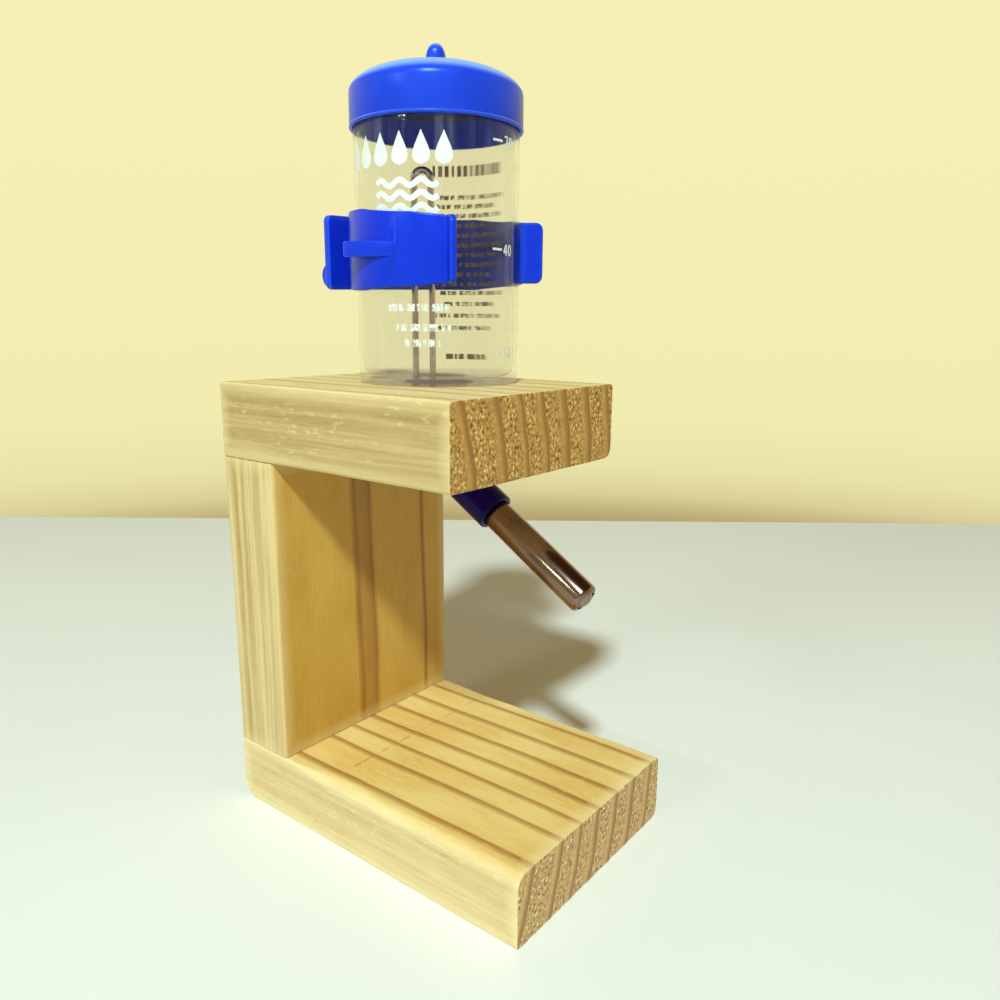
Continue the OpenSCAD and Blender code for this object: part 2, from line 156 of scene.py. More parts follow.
RIB_HALF = 1.8                   # half of a rib's height
RIB_OUT = 3.8                    # how far a rib's back end stands out of the band
RIB_START = -22.0                # where a rib starts, in degrees in front of the band's side
RIB_BACK_Y = 8.6

# Growth rings in the boards: distance from the board's middle to each ring's dark edge, and width
BASE_RINGS = ((-27.5, 2.4), (-16.2, 2.2), (-8.2, 2.0), (-0.3, 2.4), (8.3, 2.4), (17, 2.6), (26, 2.0))
TOP_RINGS = ((-25, 2.0), (-14, 2.2), (-5.8, 1.7), (2.2, 2.0), (11.2, 2.8), (21, 3.0), (30, 2.0))
# The post's late wood, as (distance, darkness) stops: one band of it is very wide
POST_LATE = ((-32.6, 0), (-31.6, 0.6), (-31, 1), (-30.7, 0), (0, 0), (1.0, 0.6), (1.6, 0.85), (2.5, 0.5),
             (5.2, 0.6), (6.3, 0.8), (6.9, 0.3), (7.4, 0), (23.2, 0), (24, 0.8), (24.6, 0.7), (25.1, 0))


def colour(red, green, blue):
    """A colour as it looks on a screen, 0 to 255, turned into Blender's linear values."""
    linear = [(c / 255 / 12.92) if c <= 10 else ((c / 255 + 0.055) / 1.055) ** 2.4
              for c in (red, green, blue)]
    return (*linear, 1.0)


def turned(degrees, axis):
    return Matrix.Rotation(math.radians(degrees), 4, axis)


# ---------------------------------------------------------------- meshes


def shade(obj, sharp=40):
    obj.data.polygons.foreach_set("use_smooth", [True] * len(obj.data.polygons))
    obj.data.set_sharp_from_angle(angle=math.radians(sharp))


def add_mesh(name, points, faces, sharp=40):
    """A new object from points in millimetres, with shared corners and outward faces."""
    mesh = bpy.data.meshes.new(name)
    mesh.from_pydata([Vector(p) * MM for p in points], [], faces)
    clean = bmesh.new()
    clean.from_mesh(mesh)
    bmesh.ops.recalc_face_normals(clean, faces=clean.faces)
    clean.to_mesh(mesh)
    clean.free()
    obj = bpy.data.objects.new(name, mesh)
    bpy.context.scene.collection.objects.link(obj)
    shade(obj, sharp)
    return obj


def combine(obj, others, how, sharp=40):
    """Joins or cuts an object with others, which are then removed. how: UNION or DIFFERENCE."""
    for other in others:
        step = obj.modifiers.new("step", "BOOLEAN")
        step.operation = how
        step.solver = "EXACT"
        step.object = other
    bpy.context.view_layer.update()
    depsgraph = bpy.context.evaluated_depsgraph_get()
    mesh = bpy.data.meshes.new_from_object(obj.evaluated_get(depsgraph))
    obj.modifiers.clear()
    obj.data = mesh
    shade(obj, sharp)
    for other in others:
        bpy.data.objects.remove(other)


def arc(centre, radius, start, end, steps):
    """Points on an arc in a plane, with angles in degrees."""
    found = []
    for i in range(steps + 1):
        angle = math.radians(start + (end - start) * i / steps)
        found.append((centre[0] + radius * math.cos(angle), centre[1] + radius * math.sin(angle)))
    return found


def rounded(corners, steps=5):
    """A closed outline whose corners, each (x, y, radius), are rounded."""
    outline = []
    for i, (x, y, radius) in enumerate(corners):
        here = Vector((x, y))
        if radius < TINY:
            outline.append((x, y))
            continue
        before = (Vector(corners[i - 1][:2]) - here).normalized()
        after = (Vector(corners[(i + 1) % len(corners)][:2]) - here).normalized()
        half = before.angle(after) / 2
        centre = here + (before + after).normalized() * (radius / math.sin(half))
        start = here + before * (radius / math.tan(half)) - centre
        end = here + after * (radius / math.tan(half)) - centre
        first = math.atan2(start.y, start.x)
        turn = math.atan2(end.y, end.x) - first
        turn = (turn + math.pi) % (2 * math.pi) - math.pi
        for k in range(steps + 1):
            angle = first + turn * k / steps
            outline.append((centre.x + radius * math.cos(angle), centre.y + radius * math.sin(angle)))
    return outline


def lathe(name, outline, place, segments=128, sharp=40):
    """Turns a closed outline of (radius, height) round the Z axis of place."""
    points, rings, faces = [], [], []
    for radius, height in outline:
        start = len(points)
        if radius < TINY:
            points.append(place @ Vector((0, 0, height)))
            rings.append([start] * segments)
            continue
        for k in range(segments):
            angle = 2 * math.pi * k / segments
            points.append(place @ Vector((radius * math.cos(angle), radius * math.sin(angle), height)))
        rings.append(list(range(start, start + segments)))
    for i, ring in enumerate(rings):
        after = rings[(i + 1) % len(rings)]
        for k in range(segments):
            n = (k + 1) % segments
            corners = list(dict.fromkeys((ring[k], ring[n], after[n], after[k])))
            if len(corners) > 2:
                faces.append(corners)
    return add_mesh(name, points, faces, sharp)


def skin(loops):
    """Points and faces of a closed skin over loops that have the same number of points."""
    count = len(loops[0])
    points = [point for loop in loops for point in loop]
    faces = []
    for i in range(len(loops) - 1):
        for k in range(count):
            n = (k + 1) % count
            faces.append([i * count + k, i * count + n, (i + 1) * count + n, (i + 1) * count + k])
    faces.append(list(range(count)))
    faces.append(list(range(len(points) - count, len(points))))
    return points, faces


def plate_corners(half_x, half_y, radius):
    """The corners of an upright rectangle round the origin, all with one radius."""
    return [(-half_x, -half_y, radius), (half_x, -half_y, radius), (half_x, half_y, radius),
            (-half_x, half_y, radius)]


def heading(route, i):
    """The direction of a route of points in a plane, at point i."""
    return (Vector(route[min(i + 1, len(route) - 1)]) - Vector(route[max(i - 1, 0)])).normalized()


def slab(name, corners, low, high, edge, place, steps=3):
    """A plate with the outline of corners, from low to high, with rounded edges."""
    loops = []
    for base, sign in ((low, 1), (high, -1)):
        side = []
        for k in range(steps + 1):
            angle = math.pi / 2 * k / steps
            inset = edge * (1 - math.sin(angle))
            height = base + sign * edge * (1 - math.cos(angle))
            side.append([place @ Vector((x, y, height)) for x, y in inset_outline(corners, inset)])
        loops.extend(side if sign > 0 else side[::-1])
    return add_mesh(name, *skin(loops))


def inset_outline(corners, inset):
    """The rounded outline of corners, moved inwards all round."""
    outline = [Vector(p) for p in rounded(corners)]
    area = sum(a.x * b.y - a.y * b.x for a, b in zip(outline, outline[1:] + outline[:1]))
    side = 1 if area > 0 else -1
    moved = []
    for i, here in enumerate(outline):
        along = outline[(i + 1) % len(outline)] - outline[i - 1]
        inward = Vector((-along.y, along.x)).normalized() * side
        moved.append(here + inward * inset)
    return moved


# ---------------------------------------------------------------- materials

class Shader:
    """The nodes of one material or world, with short calls that add to them."""

    def __init__(self, name, home=bpy.data.materials, end="Principled BSDF"):
        self.made = home.new(name)
        self.made.use_nodes = True
        self.tree = self.made.node_tree
        self.surface = self.tree.nodes[end]

    def put(self, socket, value):
        if isinstance(value, bpy.types.NodeSocket):
            self.tree.links.new(value, socket)
        else:
            socket.default_value = value

    def set(self, **values):
        for name, value in values.items():
            self.put(self.surface.inputs[name.replace("_", " ")], value)

    def add(self, kind, values=None):
        """A new node whose sockets take values, which are numbers, colours or other sockets."""
        made = self.tree.nodes.new("ShaderNode" + kind)
        for socket, value in (values or {}).items():
            self.put(made.inputs[socket], value)
        return made

    def coordinates(self, kind):
        return self.add("TexCoord").outputs[kind]

    def place(self, scale, shift=(0, 0, 0)):
        """Object coordinates in millimetres times scale, plus shift."""
        values = {"Vector": self.coordinates("Object"), "Scale": [s / MM for s in scale], "Location": shift}
        return self.add("Mapping", values).outputs[0]

    def split(self, vector):
        return self.add("SeparateXYZ", {0: vector}).outputs

    def join(self, x, y, z):
        return self.add("CombineXYZ", {0: x, 1: y, 2: z}).outputs[0]

    def math(self, operation, a, b=0.0, clamp=False):
        made = self.add("Math", {0: a, 1: b})
        made.operation = operation
        made.use_clamp = clamp
        return made.outputs[0]

    def plus(self, a, b):
        return self.math("ADD", a, b)

    def minus(self, a, b):
        return self.math("SUBTRACT", a, b)

    def times(self, a, b):
        return self.math("MULTIPLY", a, b)

    def noise(self, vector, detail=2.0, roughness=0.5):
        values = {"Vector": vector, "Scale": 1.0, "Detail": detail, "Roughness": roughness}
        return self.add("TexNoise", values).outputs["Fac"]

    def mottle(self, scale, **look):
        """Noise over the object, where scale is its cells to a millimetre: one number, or one per axis."""
        return self.noise(self.place(scale if isinstance(scale, tuple) else (scale,) * 3), **look)

    def ramp(self, value, stops):
        """Maps a value by (place, grey or colour) stops."""
        made = self.add("ValToRGB", {0: value})
        elements = made.color_ramp.elements
        while len(elements) < len(stops):
            elements.new(1.0)
        for element, (where, shown) in zip(elements, sorted(stops, key=lambda stop: stop[0])):
            element.position = where
            element.color = shown if isinstance(shown, tuple) else (shown, shown, shown, 1.0)
        return made.outputs[0]

    def between(self, value, low, high, at_low=0.0, at_high=1.0):
        """at_low below low and at_high above high, smooth between."""
        made = self.add("MapRange", {"Value": value, "From Min": low, "From Max": high, "To Min": at_low,
                                     "To Max": at_high})
        made.interpolation_type = "SMOOTHSTEP"
        return made.outputs["Result"]

    def mix(self, factor, a, b, blend="MIX"):
        made = self.add("Mix")
        made.data_type = "RGBA"
        made.blend_type = blend
        for socket, value in ((0, factor), (6, a), (7, b)):
            self.put(made.inputs[socket], value)
        return made.outputs[2]

    def bump(self, height, distance, strength=1.0):
        """Raises the surface by height times distance millimetres."""
        values = {"Height": height, "Distance": distance * MM, "Strength": strength}
        return self.add("Bump", values).outputs[0]


RING_SPAN = 42                   # how far from the middle the ring pattern reaches
RING_END = 0.25                  # how far past its dark edge a ring has faded
WANDER = 0.5                     # how far a stripe wanders sideways
WANDER_LEN = 21.0                # length of the wander along the grain
PALE_EDGE_WIDTH = 4.0                  # width of the paler wood along each edge


def ring_stops(rings, wider=0.0):
    """(distance, darkness) stops: a ring darkens slowly towards its edge, then ends sharply."""
    stops = []
    for edge, width in rings:
        stops += [(edge - width - wider, 0.0), (edge - width * 0.62 - wider, 0.62),
                  (edge - width * 0.12, 1.0), (edge + RING_END, 0.0)]
    return stops


def darkness(distance, stops):
    """The value of ring_stops at a distance."""
    for (a, at_a), (b, at_b) in zip(stops, stops[1:]):
        if a <= distance < b:
            return at_a + (at_b - at_a) * (distance - a) / (b - a)
    return 0.0


def paler_near_edges(s, parts, half):
    """1 along a board's edges, falling to 0 at PALE_EDGE_WIDTH millimetres from them."""
    near = [s.math("DIVIDE", s.minus(s.math("ABSOLUTE", part), reach - PALE_EDGE_WIDTH), PALE_EDGE_WIDTH, clamp=True)
            for part, reach in zip(parts, half)]
    pairs = [s.math("MINIMUM", near[i], near[i - 1]) for i in range(3)]
    return s.math("MAXIMUM", s.math("MAXIMUM", pairs[0], pairs[1]), pairs[2])


def ring_maps(s, parts, drift, pith, patterns):
    """How late the wood is by its distance from the pith, once for each pattern of stops."""
    u, v, w = parts
    side_u, side_v = s.minus(u, pith[0]), s.minus(v, pith[1])
    reach = s.math("SQRT", s.plus(s.times(side_u, side_u), s.times(side_v, side_v)))
    wander = s.times(s.math("SINE", s.math("DIVIDE", w, WANDER_LEN)), WANDER)
    ring = s.plus(s.minus(reach, math.hypot(*pith)), s.plus(wander, drift))
    t = s.math("DIVIDE", s.plus(ring, RING_SPAN), 2 * RING_SPAN)
    return [s.ramp(t, [((d + RING_SPAN) / (2 * RING_SPAN), value) for d, value in stops])
            for stops in patterns]


def planed_wood(s, tones, late, blotch, stripe, fleck, normal_across, normal_through):
    """Planed faces: the wide ones show the rings, the narrow ones are plain."""
    early = s.mix(s.between(blotch, 0.35, 0.65), tones["early"], tones["early_warm"])
    # on the post, faces towards +Y get a paler early tone: the front's darker, more orange tone is painted
    # shade
    if "early_unshaded_back" in tones:
        early = s.mix(s.between(normal_through, 0.4, 0.8), early, tones["early_unshaded_back"])
    wide = s.mix(s.times(late, s.plus(0.66, s.times(blotch, 0.5))), early, tones["late"])
    narrow = s.mix(s.between(blotch, 0.35, 0.65), tones["side"], tones["side_warm"])
    for low, high, tone in ((0.45, 0.68, "pale"), (0.44, 0.30, "stripe_dark")):
        narrow = s.mix(s.times(s.between(stripe, low, high), tones["stripe"]), narrow, tones[tone])
    shown = s.mix(s.between(s.math("ABSOLUTE", normal_across), 0.55, 0.85), wide, narrow)
    shown = s.mix(0.7, shown, tones["streak"], "MULTIPLY")
    patchy = s.between(blotch, 0.50, 0.62)
    for low, high, tone in ((0.60, 0.72, "fleck"), (0.42, 0.30, "pale")):
        speck = s.times(patchy, s.between(fleck, low, high))
        shown = s.mix(s.times(speck, tones["flecks"]), shown, tones[tone])
    return shown


def sawn_wood(s, tones, late, calm, cell):
    """Sawn ends: coarse light and dark cells in the early wood, smooth bands of late wood."""
    speckle = s.ramp(cell, [(0.36, tones["end_dark"]), (0.46, tones["end"]), (0.55, tones["end"]),
                            (0.64, tones["end_light"])])
    sawn = s.mix(calm, speckle, s.mix(0.5, tones["end"], tones["end_calm"]))
    sawn = s.mix(s.times(late, 0.95), sawn, tones["end_late"])
    return s.mix(0.35, sawn, tones["streak"], "MULTIPLY")


def pine(name, node, axes, pith, late_stops, calm_stops, tones, pencil_at=None):
    """Sawn pine. axes: which of X, Y, Z run across, through and along the grain."""
    s = Shader(name)
    tones = {part: colour(*tone) if isinstance(tone, tuple) else tone for part, tone in tones.items()}
    low, high = node_box(node)
    centred = s.split(s.place((1, 1, 1), -(low + high) / 2))
    u, v, w = parts = [centred[axis] for axis in axes]
    normals = s.split(s.coordinates("Normal"))
    normal_across, normal_through, normal_along = [normals[axis] for axis in axes]

    def grain(across, through, along, **look):
        return s.noise(s.join(s.times(u, across), s.times(v, through), s.times(w, along)), **look)

    drift = s.times(s.minus(grain(0.12, 0.12, 0.025), 0.5), 1.6)
    late, calm = ring_maps(s, parts, drift, pith, (late_stops, calm_stops))
    # long fibres, which show as specks where the grain is cut across
    fibre = grain(2.6, 2.6, 0.09, detail=4.0, roughness=0.65)
    cell = grain(1.25, 1.1, 0.25, detail=3.0, roughness=0.6)
    blotch = grain(0.08, 0.08, 0.03, detail=3.0)
    stripe = grain(0.55, 0.55, 0.012, detail=3.0, roughness=0.55)
    fleck = grain(0.9, 0.9, 0.3)
    tones["streak"] = s.ramp(fibre, [(0.30, tones["streak_dark"]), (0.52, (1, 1, 1, 1)),
                                     (0.75, (1.0, 1.0, 0.97, 1))])

    planed = planed_wood(s, tones, late, blotch, stripe, fleck, normal_across, normal_through)
    half = [(high[axis] - low[axis]) / 2 for axis in axes]
    # the wood is paler along every edge
    planed = s.mix(s.times(paler_near_edges(s, parts, half), 0.5), planed, tones["pale"])
    end_face = s.between(s.math("ABSOLUTE", normal_along), 0.45, 0.8)
    shown = s.mix(end_face, planed, sawn_wood(s, tones, late, calm, cell))
    if pencil_at is not None:
        shown = s.mix(pencil_line(s, parts, pencil_at), shown, colour(120, 96, 70))

    rough_cell = s.times(s.times(cell, end_face), s.minus(1.0, calm))
    height = s.plus(s.plus(s.times(fibre, 0.35), s.times(rough_cell, 1.6)), s.times(late, 0.25))
    s.set(Base_Color=shown, Roughness=s.plus(0.46, s.times(fibre, 0.28)), Normal=s.bump(height, 0.35, 0.6))
    return s.made


BASE_TONES = dict(early=(228, 198, 124), early_warm=(220, 182, 102), late=(158, 104, 36),
                  side=(210, 186, 138), side_warm=(204, 176, 124), stripe_dark=(191, 159, 102),
                  pale=(238, 222, 168), streak_dark=(236, 224, 200), fleck=(160, 124, 72), stripe=0.25,
                  flecks=0.25, end=(198, 160, 100), end_calm=(218, 183, 124), end_light=(240, 218, 166),
                  end_dark=(120, 82, 40), end_late=(146, 96, 44))
TOP_TONES = dict(BASE_TONES, early=(230, 207, 149), early_warm=(224, 197, 131), late=(178, 136, 76),
                 side=(177, 150, 98), side_warm=(170, 141, 88), stripe_dark=(164, 134, 80),
                 pale=(226, 206, 150), flecks=0.4, end=(180, 134, 62), end_calm=(192, 148, 74),
                 end_light=(236, 200, 128), end_dark=(108, 64, 20), end_late=(142, 90, 30))
# The post's early tones are darker and more orange than its back face's: painted shade on the post's front.
POST_TONES = dict(BASE_TONES, early=(196, 154, 66), early_warm=(188, 143, 53), early_unshaded_back=(208, 172, 96),
                  late=(132, 72, 6), side=(191, 165, 116), side_warm=(183, 155, 99), stripe=0.6,
                  stripe_dark=(164, 132, 62), flecks=0.1, pale=(222, 200, 146))


def pencil_line(s, parts, along_at):
    """Where the maker's faint pencil line runs across a board."""
    u, v, w = parts
    off = s.math("ABSOLUTE", s.minus(s.plus(w, s.times(u, 0.006)), along_at))
    line = s.minus(1.0, s.between(off, 0.12, 0.42))
    worn = s.between(s.noise(s.join(s.times(u, 0.35), 0.0, s.times(w, 0.35))), 0.35, 0.6)
    flat = s.times(s.between(u, -26.0, -24.0), s.between(v, 8.0, 8.4))
    strength = s.minus(0.5, s.times(u, 0.008))
    return s.times(s.times(line, worn), s.times(flat, strength))


def dowel_wood():
    s = Shader("dowel_wood")
    grain = s.mottle((2.0, 2.0, 0.08), detail=4.0)
    tone = s.ramp(grain, [(0.3, colour(176, 132, 84)), (0.6, colour(214, 176, 124))])
    s.set(Base_Color=tone, Roughness=s.plus(0.5, s.times(grain, 0.25)), Normal=s.bump(grain, 0.1))
    return s.made


def blue_plastic(name, body, deep, edge_highlight, sheen=(120, 165, 255), painted_top_sheen=0.0):
    """Glossy moulded plastic, with a painted highlight along its convex edges and a painted sheen on its top
    where it is seen at low angles.
    """
    s = Shader(name)
    cloud = s.mottle(0.12, detail=3.0)
    tone = s.mix(s.between(cloud, 0.3, 0.7), colour(*body), colour(*deep))
    # painted highlight: a paler tone along convex edges, where the pointiness is high
    edge = s.between(s.add("NewGeometry").outputs["Pointiness"], 0.515, 0.60)
    tone = s.mix(s.times(edge, 0.75), tone, colour(*edge_highlight))
    if painted_top_sheen:
        # painted sheen: a pale tone on upward faces, strongest where they are seen at low angles
        upward = s.split(s.coordinates("Normal"))[2]
        low_angle = s.add("LayerWeight").outputs["Facing"]
        painted_sheen_mask = s.times(s.between(upward, 0.2, 0.8), s.between(low_angle, 0.3, 0.9))
        tone = s.mix(s.times(painted_sheen_mask, painted_top_sheen), tone, colour(146, 186, 255))
    grained = s.mottle(1.6)
    scuff = s.mottle((0.5, 0.5, 3.0), detail=5.0, roughness=0.7)
    s.set(Base_Color=tone, Roughness=s.plus(0.22, s.times(scuff, 0.16)), Normal=s.bump(grained, 0.02, 0.5),
          IOR=1.49, Specular_Tint=colour(*sheen), Subsurface_Weight=0.2,
          Subsurface_Radius=(0.3, 0.5, 1.0), Subsurface_Scale=1.5 * MM)
    return s.made


def clear_plastic():
    """Clear moulded plastic with faint upright flow lines. It is cloudier in the floor and below it, and
    there it has a darker, browner tint, which is painted shade.
    """
    s = Shader("clear_plastic")
    flow = s.mottle((0.55, 0.55, 0.02), detail=3.0)
    haze = s.mottle(0.25, detail=4.0)
    milk = s.mottle((0.4, 0.4, 0.008), detail=4.0, roughness=0.6)
    height = s.split(s.place((1, 1, 1)))[2]
    # real cloudiness, and painted shade: a darker, browner tint in the floor and below it
    foot_cloud_and_shade = s.minus(1.0, s.between(height, DECK + 0.6, DECK + 3.0))
    cloudy = s.math("MAXIMUM", s.times(s.between(milk, 0.5, 0.72), 0.13), s.times(foot_cloud_and_shade, 0.4))
    s.set(Base_Color=s.mix(foot_cloud_and_shade, colour(233, 234, 234), colour(206, 188, 190)),
          Transmission_Weight=s.minus(1.0, cloudy), Roughness=s.times(s.between(haze, 0.45, 0.75), 0.05),
          Normal=s.bump(flow, 0.08, 0.5), IOR=1.02, Alpha=0.45, Coat_Weight=1.0, Coat_IOR=1.5,
          Coat_Roughness=0.04)
    return s.made


def steel(name, tone, rough, scratches, fine=0.012, stretch=(3.0, 3.0, 3.0)):
    """Bright metal with fine marks stretched along one axis."""
    s = Shader(name)
    marks = s.mottle(stretch, detail=5.0, roughness=0.7)
    stain = s.mottle(0.2, detail=3.0)
    shown = s.mix(s.between(stain, 0.45, 0.75), colour(*tone), colour(*[c * 0.86 for c in tone]))
    s.set(Base_Color=shown, Roughness=s.plus(rough, s.times(marks, scratches)), Metallic=1.0,
          Normal=s.bump(marks, fine, 0.5))
    return s.made


def rubber():
    s = Shader("seal_rubber")
    dust = s.mottle(1.5, detail=5.0)
    tone = s.ramp(dust, [(0.35, colour(44, 44, 96)), (0.65, colour(58, 58, 112))])
    s.set(Base_Color=tone, Roughness=s.plus(0.5, s.times(dust, 0.2)), Normal=s.bump(dust, 0.05))
    return s.made


def ink(name, tone, worn_tone, fine):
    """Screen-printed ink, thin and slightly patchy. A fine ink is broken up, as small print looks."""
    s = Shader(name)
    patchy = s.mottle(1.1, detail=5.0, roughness=0.7)
    s.set(Base_Color=s.mix(s.between(patchy, 0.45, 0.75), colour(*tone), colour(*worn_tone)),
          Roughness=s.plus(0.42, s.times(patchy, 0.2)), Normal=s.bump(patchy, 0.02))
    if fine:
        marks = s.mottle((1.7, 1.7, 0.9), detail=1.0)
        s.set(Alpha=s.plus(0.2, s.times(s.between(marks, 0.42, 0.56), 0.7)))
    return s.made


def finish_piece(obj, material, body, slot, *nodes):
    """Gives a piece its material and the body it rides on, and hides the CAD nodes it stands for. slot is
    not used.
    """
    obj.data.materials.clear()
    obj.data.materials.append(material)
    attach(obj, body)
    if nodes:
        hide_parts(*nodes)


def paint_node(node, material):
    """A CAD node keeps its mesh and gets a better material."""
    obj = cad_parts[node]
    for held in obj.material_slots:
        held.material = material
    if not obj.material_slots:
        obj.data.materials.append(material)


# ---------------------------------------------------------------- stand

GRID = 0.62                      # spacing of a board's mesh across the grain
GRID_ALONG = 1.7                 # spacing along the grain
EDGE_ZONE = 3.2                  # zone of closer spacing next to each edge
EDGE_GRID = 0.3
RIDGE = 0.05                     # how far late wood stands proud on a planed face
TEAR = 0.16                      # how deep early wood is torn on a sawn end
CALM = 1.6                       # how much wider a sawn end's smooth bands are than its rings
NEAR_END = 10                    # how far past its middle a board's edges keep the near end's radius
NEAR_TO_FAR = 16                 # length over which they change to the far end's radius
DOWEL_GAP = 0.05
HOLE_BELOW = 40                  # how far the cutter of the bottle's hole reaches below the neck
SIDES = ("left", "right")


def grid_lines(half, step):
    """Positions from -half to half, closer together near both ends."""
    zone = min(EDGE_ZONE, half / 2)
    close = max(2, round(zone / EDGE_GRID))
    wide = max(2, round((2 * half - 2 * zone) / step))
    lines = [-half + zone * i / close for i in range(close)]
    lines += [-half + zone + (2 * half - 2 * zone) * i / wide for i in range(wide)]
    lines += [half - zone + zone * i / close for i in range(close + 1)]
    return lines


def squeeze(a, b):
    """Moves (a, b), measured from the centre of a corner's rounding, from the square onto the round."""
    if a <= 0 or b <= 0:
        return a, b
    factor = max(a, b) / math.hypot(a, b)
    return a * factor, b * factor


def rounded_section(u, v, half_u, half_v, radius):
    """(u, v) after the long edges are rounded, its depth below the surface, and the outward normal."""
    over_u, over_v = squeeze(abs(u) - (half_u - radius), abs(v) - (half_v - radius))
    sign_u, sign_v = math.copysign(1, u), math.copysign(1, v)
    placed = (sign_u * (half_u - radius + over_u), sign_v * (half_v - radius + over_v))
    if over_u > 0 and over_v > 0:
        length = math.hypot(over_u, over_v)
        return placed, radius - length, (sign_u * over_u / length, sign_v * over_v / length)
    if over_u > over_v:
        return placed, radius - over_u, (sign_u, 0.0)
    return placed, radius - over_v, (0.0, sign_v)


def block_skin(lines, shaped):
    """Points and faces over the six sides of a grid. shaped(u, v, w, at_end) places a point."""
    last = [len(line) - 1 for line in lines]
    index, points, faces = {}, [], []

    def vertex(*spot):
        if spot not in index:
            index[spot] = len(points)
            points.append(shaped(*[line[i] for line, i in zip(lines, spot)], spot[2] in (0, last[2])))
        return index[spot]

    def sheet(count_a, count_b, corner):
        for a in range(count_a):
            for b in range(count_b):
                faces.append([vertex(*corner(a, b)), vertex(*corner(a + 1, b)),
                              vertex(*corner(a + 1, b + 1)), vertex(*corner(a, b + 1))])

    for k in (0, last[2]):
        sheet(last[0], last[1], lambda a, b: (a, b, k))
    for j in (0, last[1]):
        sheet(last[0], last[2], lambda a, b: (a, j, b))
    for i in (0, last[0]):
        sheet(last[1], last[2], lambda a, b: (i, a, b))
    return points, faces


def board(name, node, axes, pith, stops, radii, end_radius=0.35, heel=0.0):
    """A sawn board with worn edges and real relief in its grain.

    radii: for each (sign across, sign through), the long edge's radius at the far end of the grain, which
    is the back or the top, and at the near end.
    heel: radius of the lower edge at the board's far end.
    """
    low, high = node_box(node)
    centre = (low + high) / 2
    half = [(high[a] - low[a]) / 2 for a in axes]
    seed = Vector((len(name) * 7.1, centre.z * 0.31, centre.y * 0.17))

    def uneven(u, v, w, cross, along):
        return noise.noise(seed + Vector((u * cross, v * cross, w * along)))

    def worn(u, v, w):
        """A point after the board's edges are rounded, and the way out of the board there."""
        if heel and w > 0 and v < 0:
            over_w, over_v = squeeze(w - (half[2] - heel), -v - (half[1] - heel))
            if over_w > 0 and over_v > 0:
                w, v = half[2] - heel + over_w, -(half[1] - heel + over_v)
        far, near = radii[(1 if u > 0 else -1, 1 if v > 0 else -1)]
        share = min(max((w - NEAR_END) / NEAR_TO_FAR, 0.0), 1.0)
        radius = near + (far - near) * share * share * (3 - 2 * share)
        radius *= 1 + 0.3 * uneven(u, v, w, 0.05, 0.07)
        (u, v), depth, (out_u, out_v) = rounded_section(u, v, half[0], half[1], radius)
        edge = end_radius * (1 + 0.7 * uneven(u, v, w, 0.8, 0.1))
        into = edge - max(depth, 0.0)
        past = abs(w) - (half[2] - edge)
        if into > 0 and past > 0:
            new_into, new_past = squeeze(into, past)
            u, v = u - out_u * (into - new_into), v - out_v * (into - new_into)
            w = math.copysign(half[2] - edge + new_past, w)
        return u, v, w, out_u, out_v

    def shaped(u, v, w, at_end):
        u, v, w, out_u, out_v = worn(u, v, w)
        distance = math.hypot(u - pith[0], v - pith[1]) - math.hypot(*pith)
        distance += WANDER * math.sin(w / WANDER_LEN)
        early = 1 - darkness(distance, stops)
        if at_end:
            torn = TEAR * early * (0.4 + 0.6 * uneven(u, v, w, 1.3, 1.3))
            w -= math.copysign(max(torn, 0.0), w)
        else:
            sink = RIDGE * early * (0.7 + 0.3 * uneven(u, v, w, 0.5, 0.04))
            u, v = u - out_u * sink, v - out_v * sink
        placed = list(centre)
        for axis, value in zip(axes, (u, v, w)):
            placed[axis] += value
        return placed

    lines = [grid_lines(half[0], GRID), grid_lines(half[1], GRID), grid_lines(half[2], GRID_ALONG)]
    return add_mesh(name, *block_skin(lines, shaped), sharp=60)


def rod(outline, place, segments=96):
    """A solid turned from an outline of (radius, height), as a cutter or a part of a moulding."""
    return lathe("rod", [(0, outline[0][1])] + outline + [(0, outline[-1][1])], place, segments)


def screw_cutter(x, y, depth):
    head, sunk, cone, shank, thread = 4.05, 0.8, 2.6, 1.75, 2.15
    outline = [(head, -1), (head, sunk), (shank, sunk + cone), (thread, sunk + cone), (thread, depth)]
    return rod(outline, Matrix.Translation((x, y, 0)), 32)


def make_board(part, axes, pith, late, calm, tones, radii, cutters, pencil_at=None, **shape):
    node = part + "_board"
    obj = board(node + "_wood", node, axes, pith, late, radii, **shape)
    combine(obj, cutters, "DIFFERENCE", 60)
    material = pine("pine_" + part, node, axes, pith, late, calm, tones, pencil_at)
    finish_piece(obj, material, "stand", "pine", node)


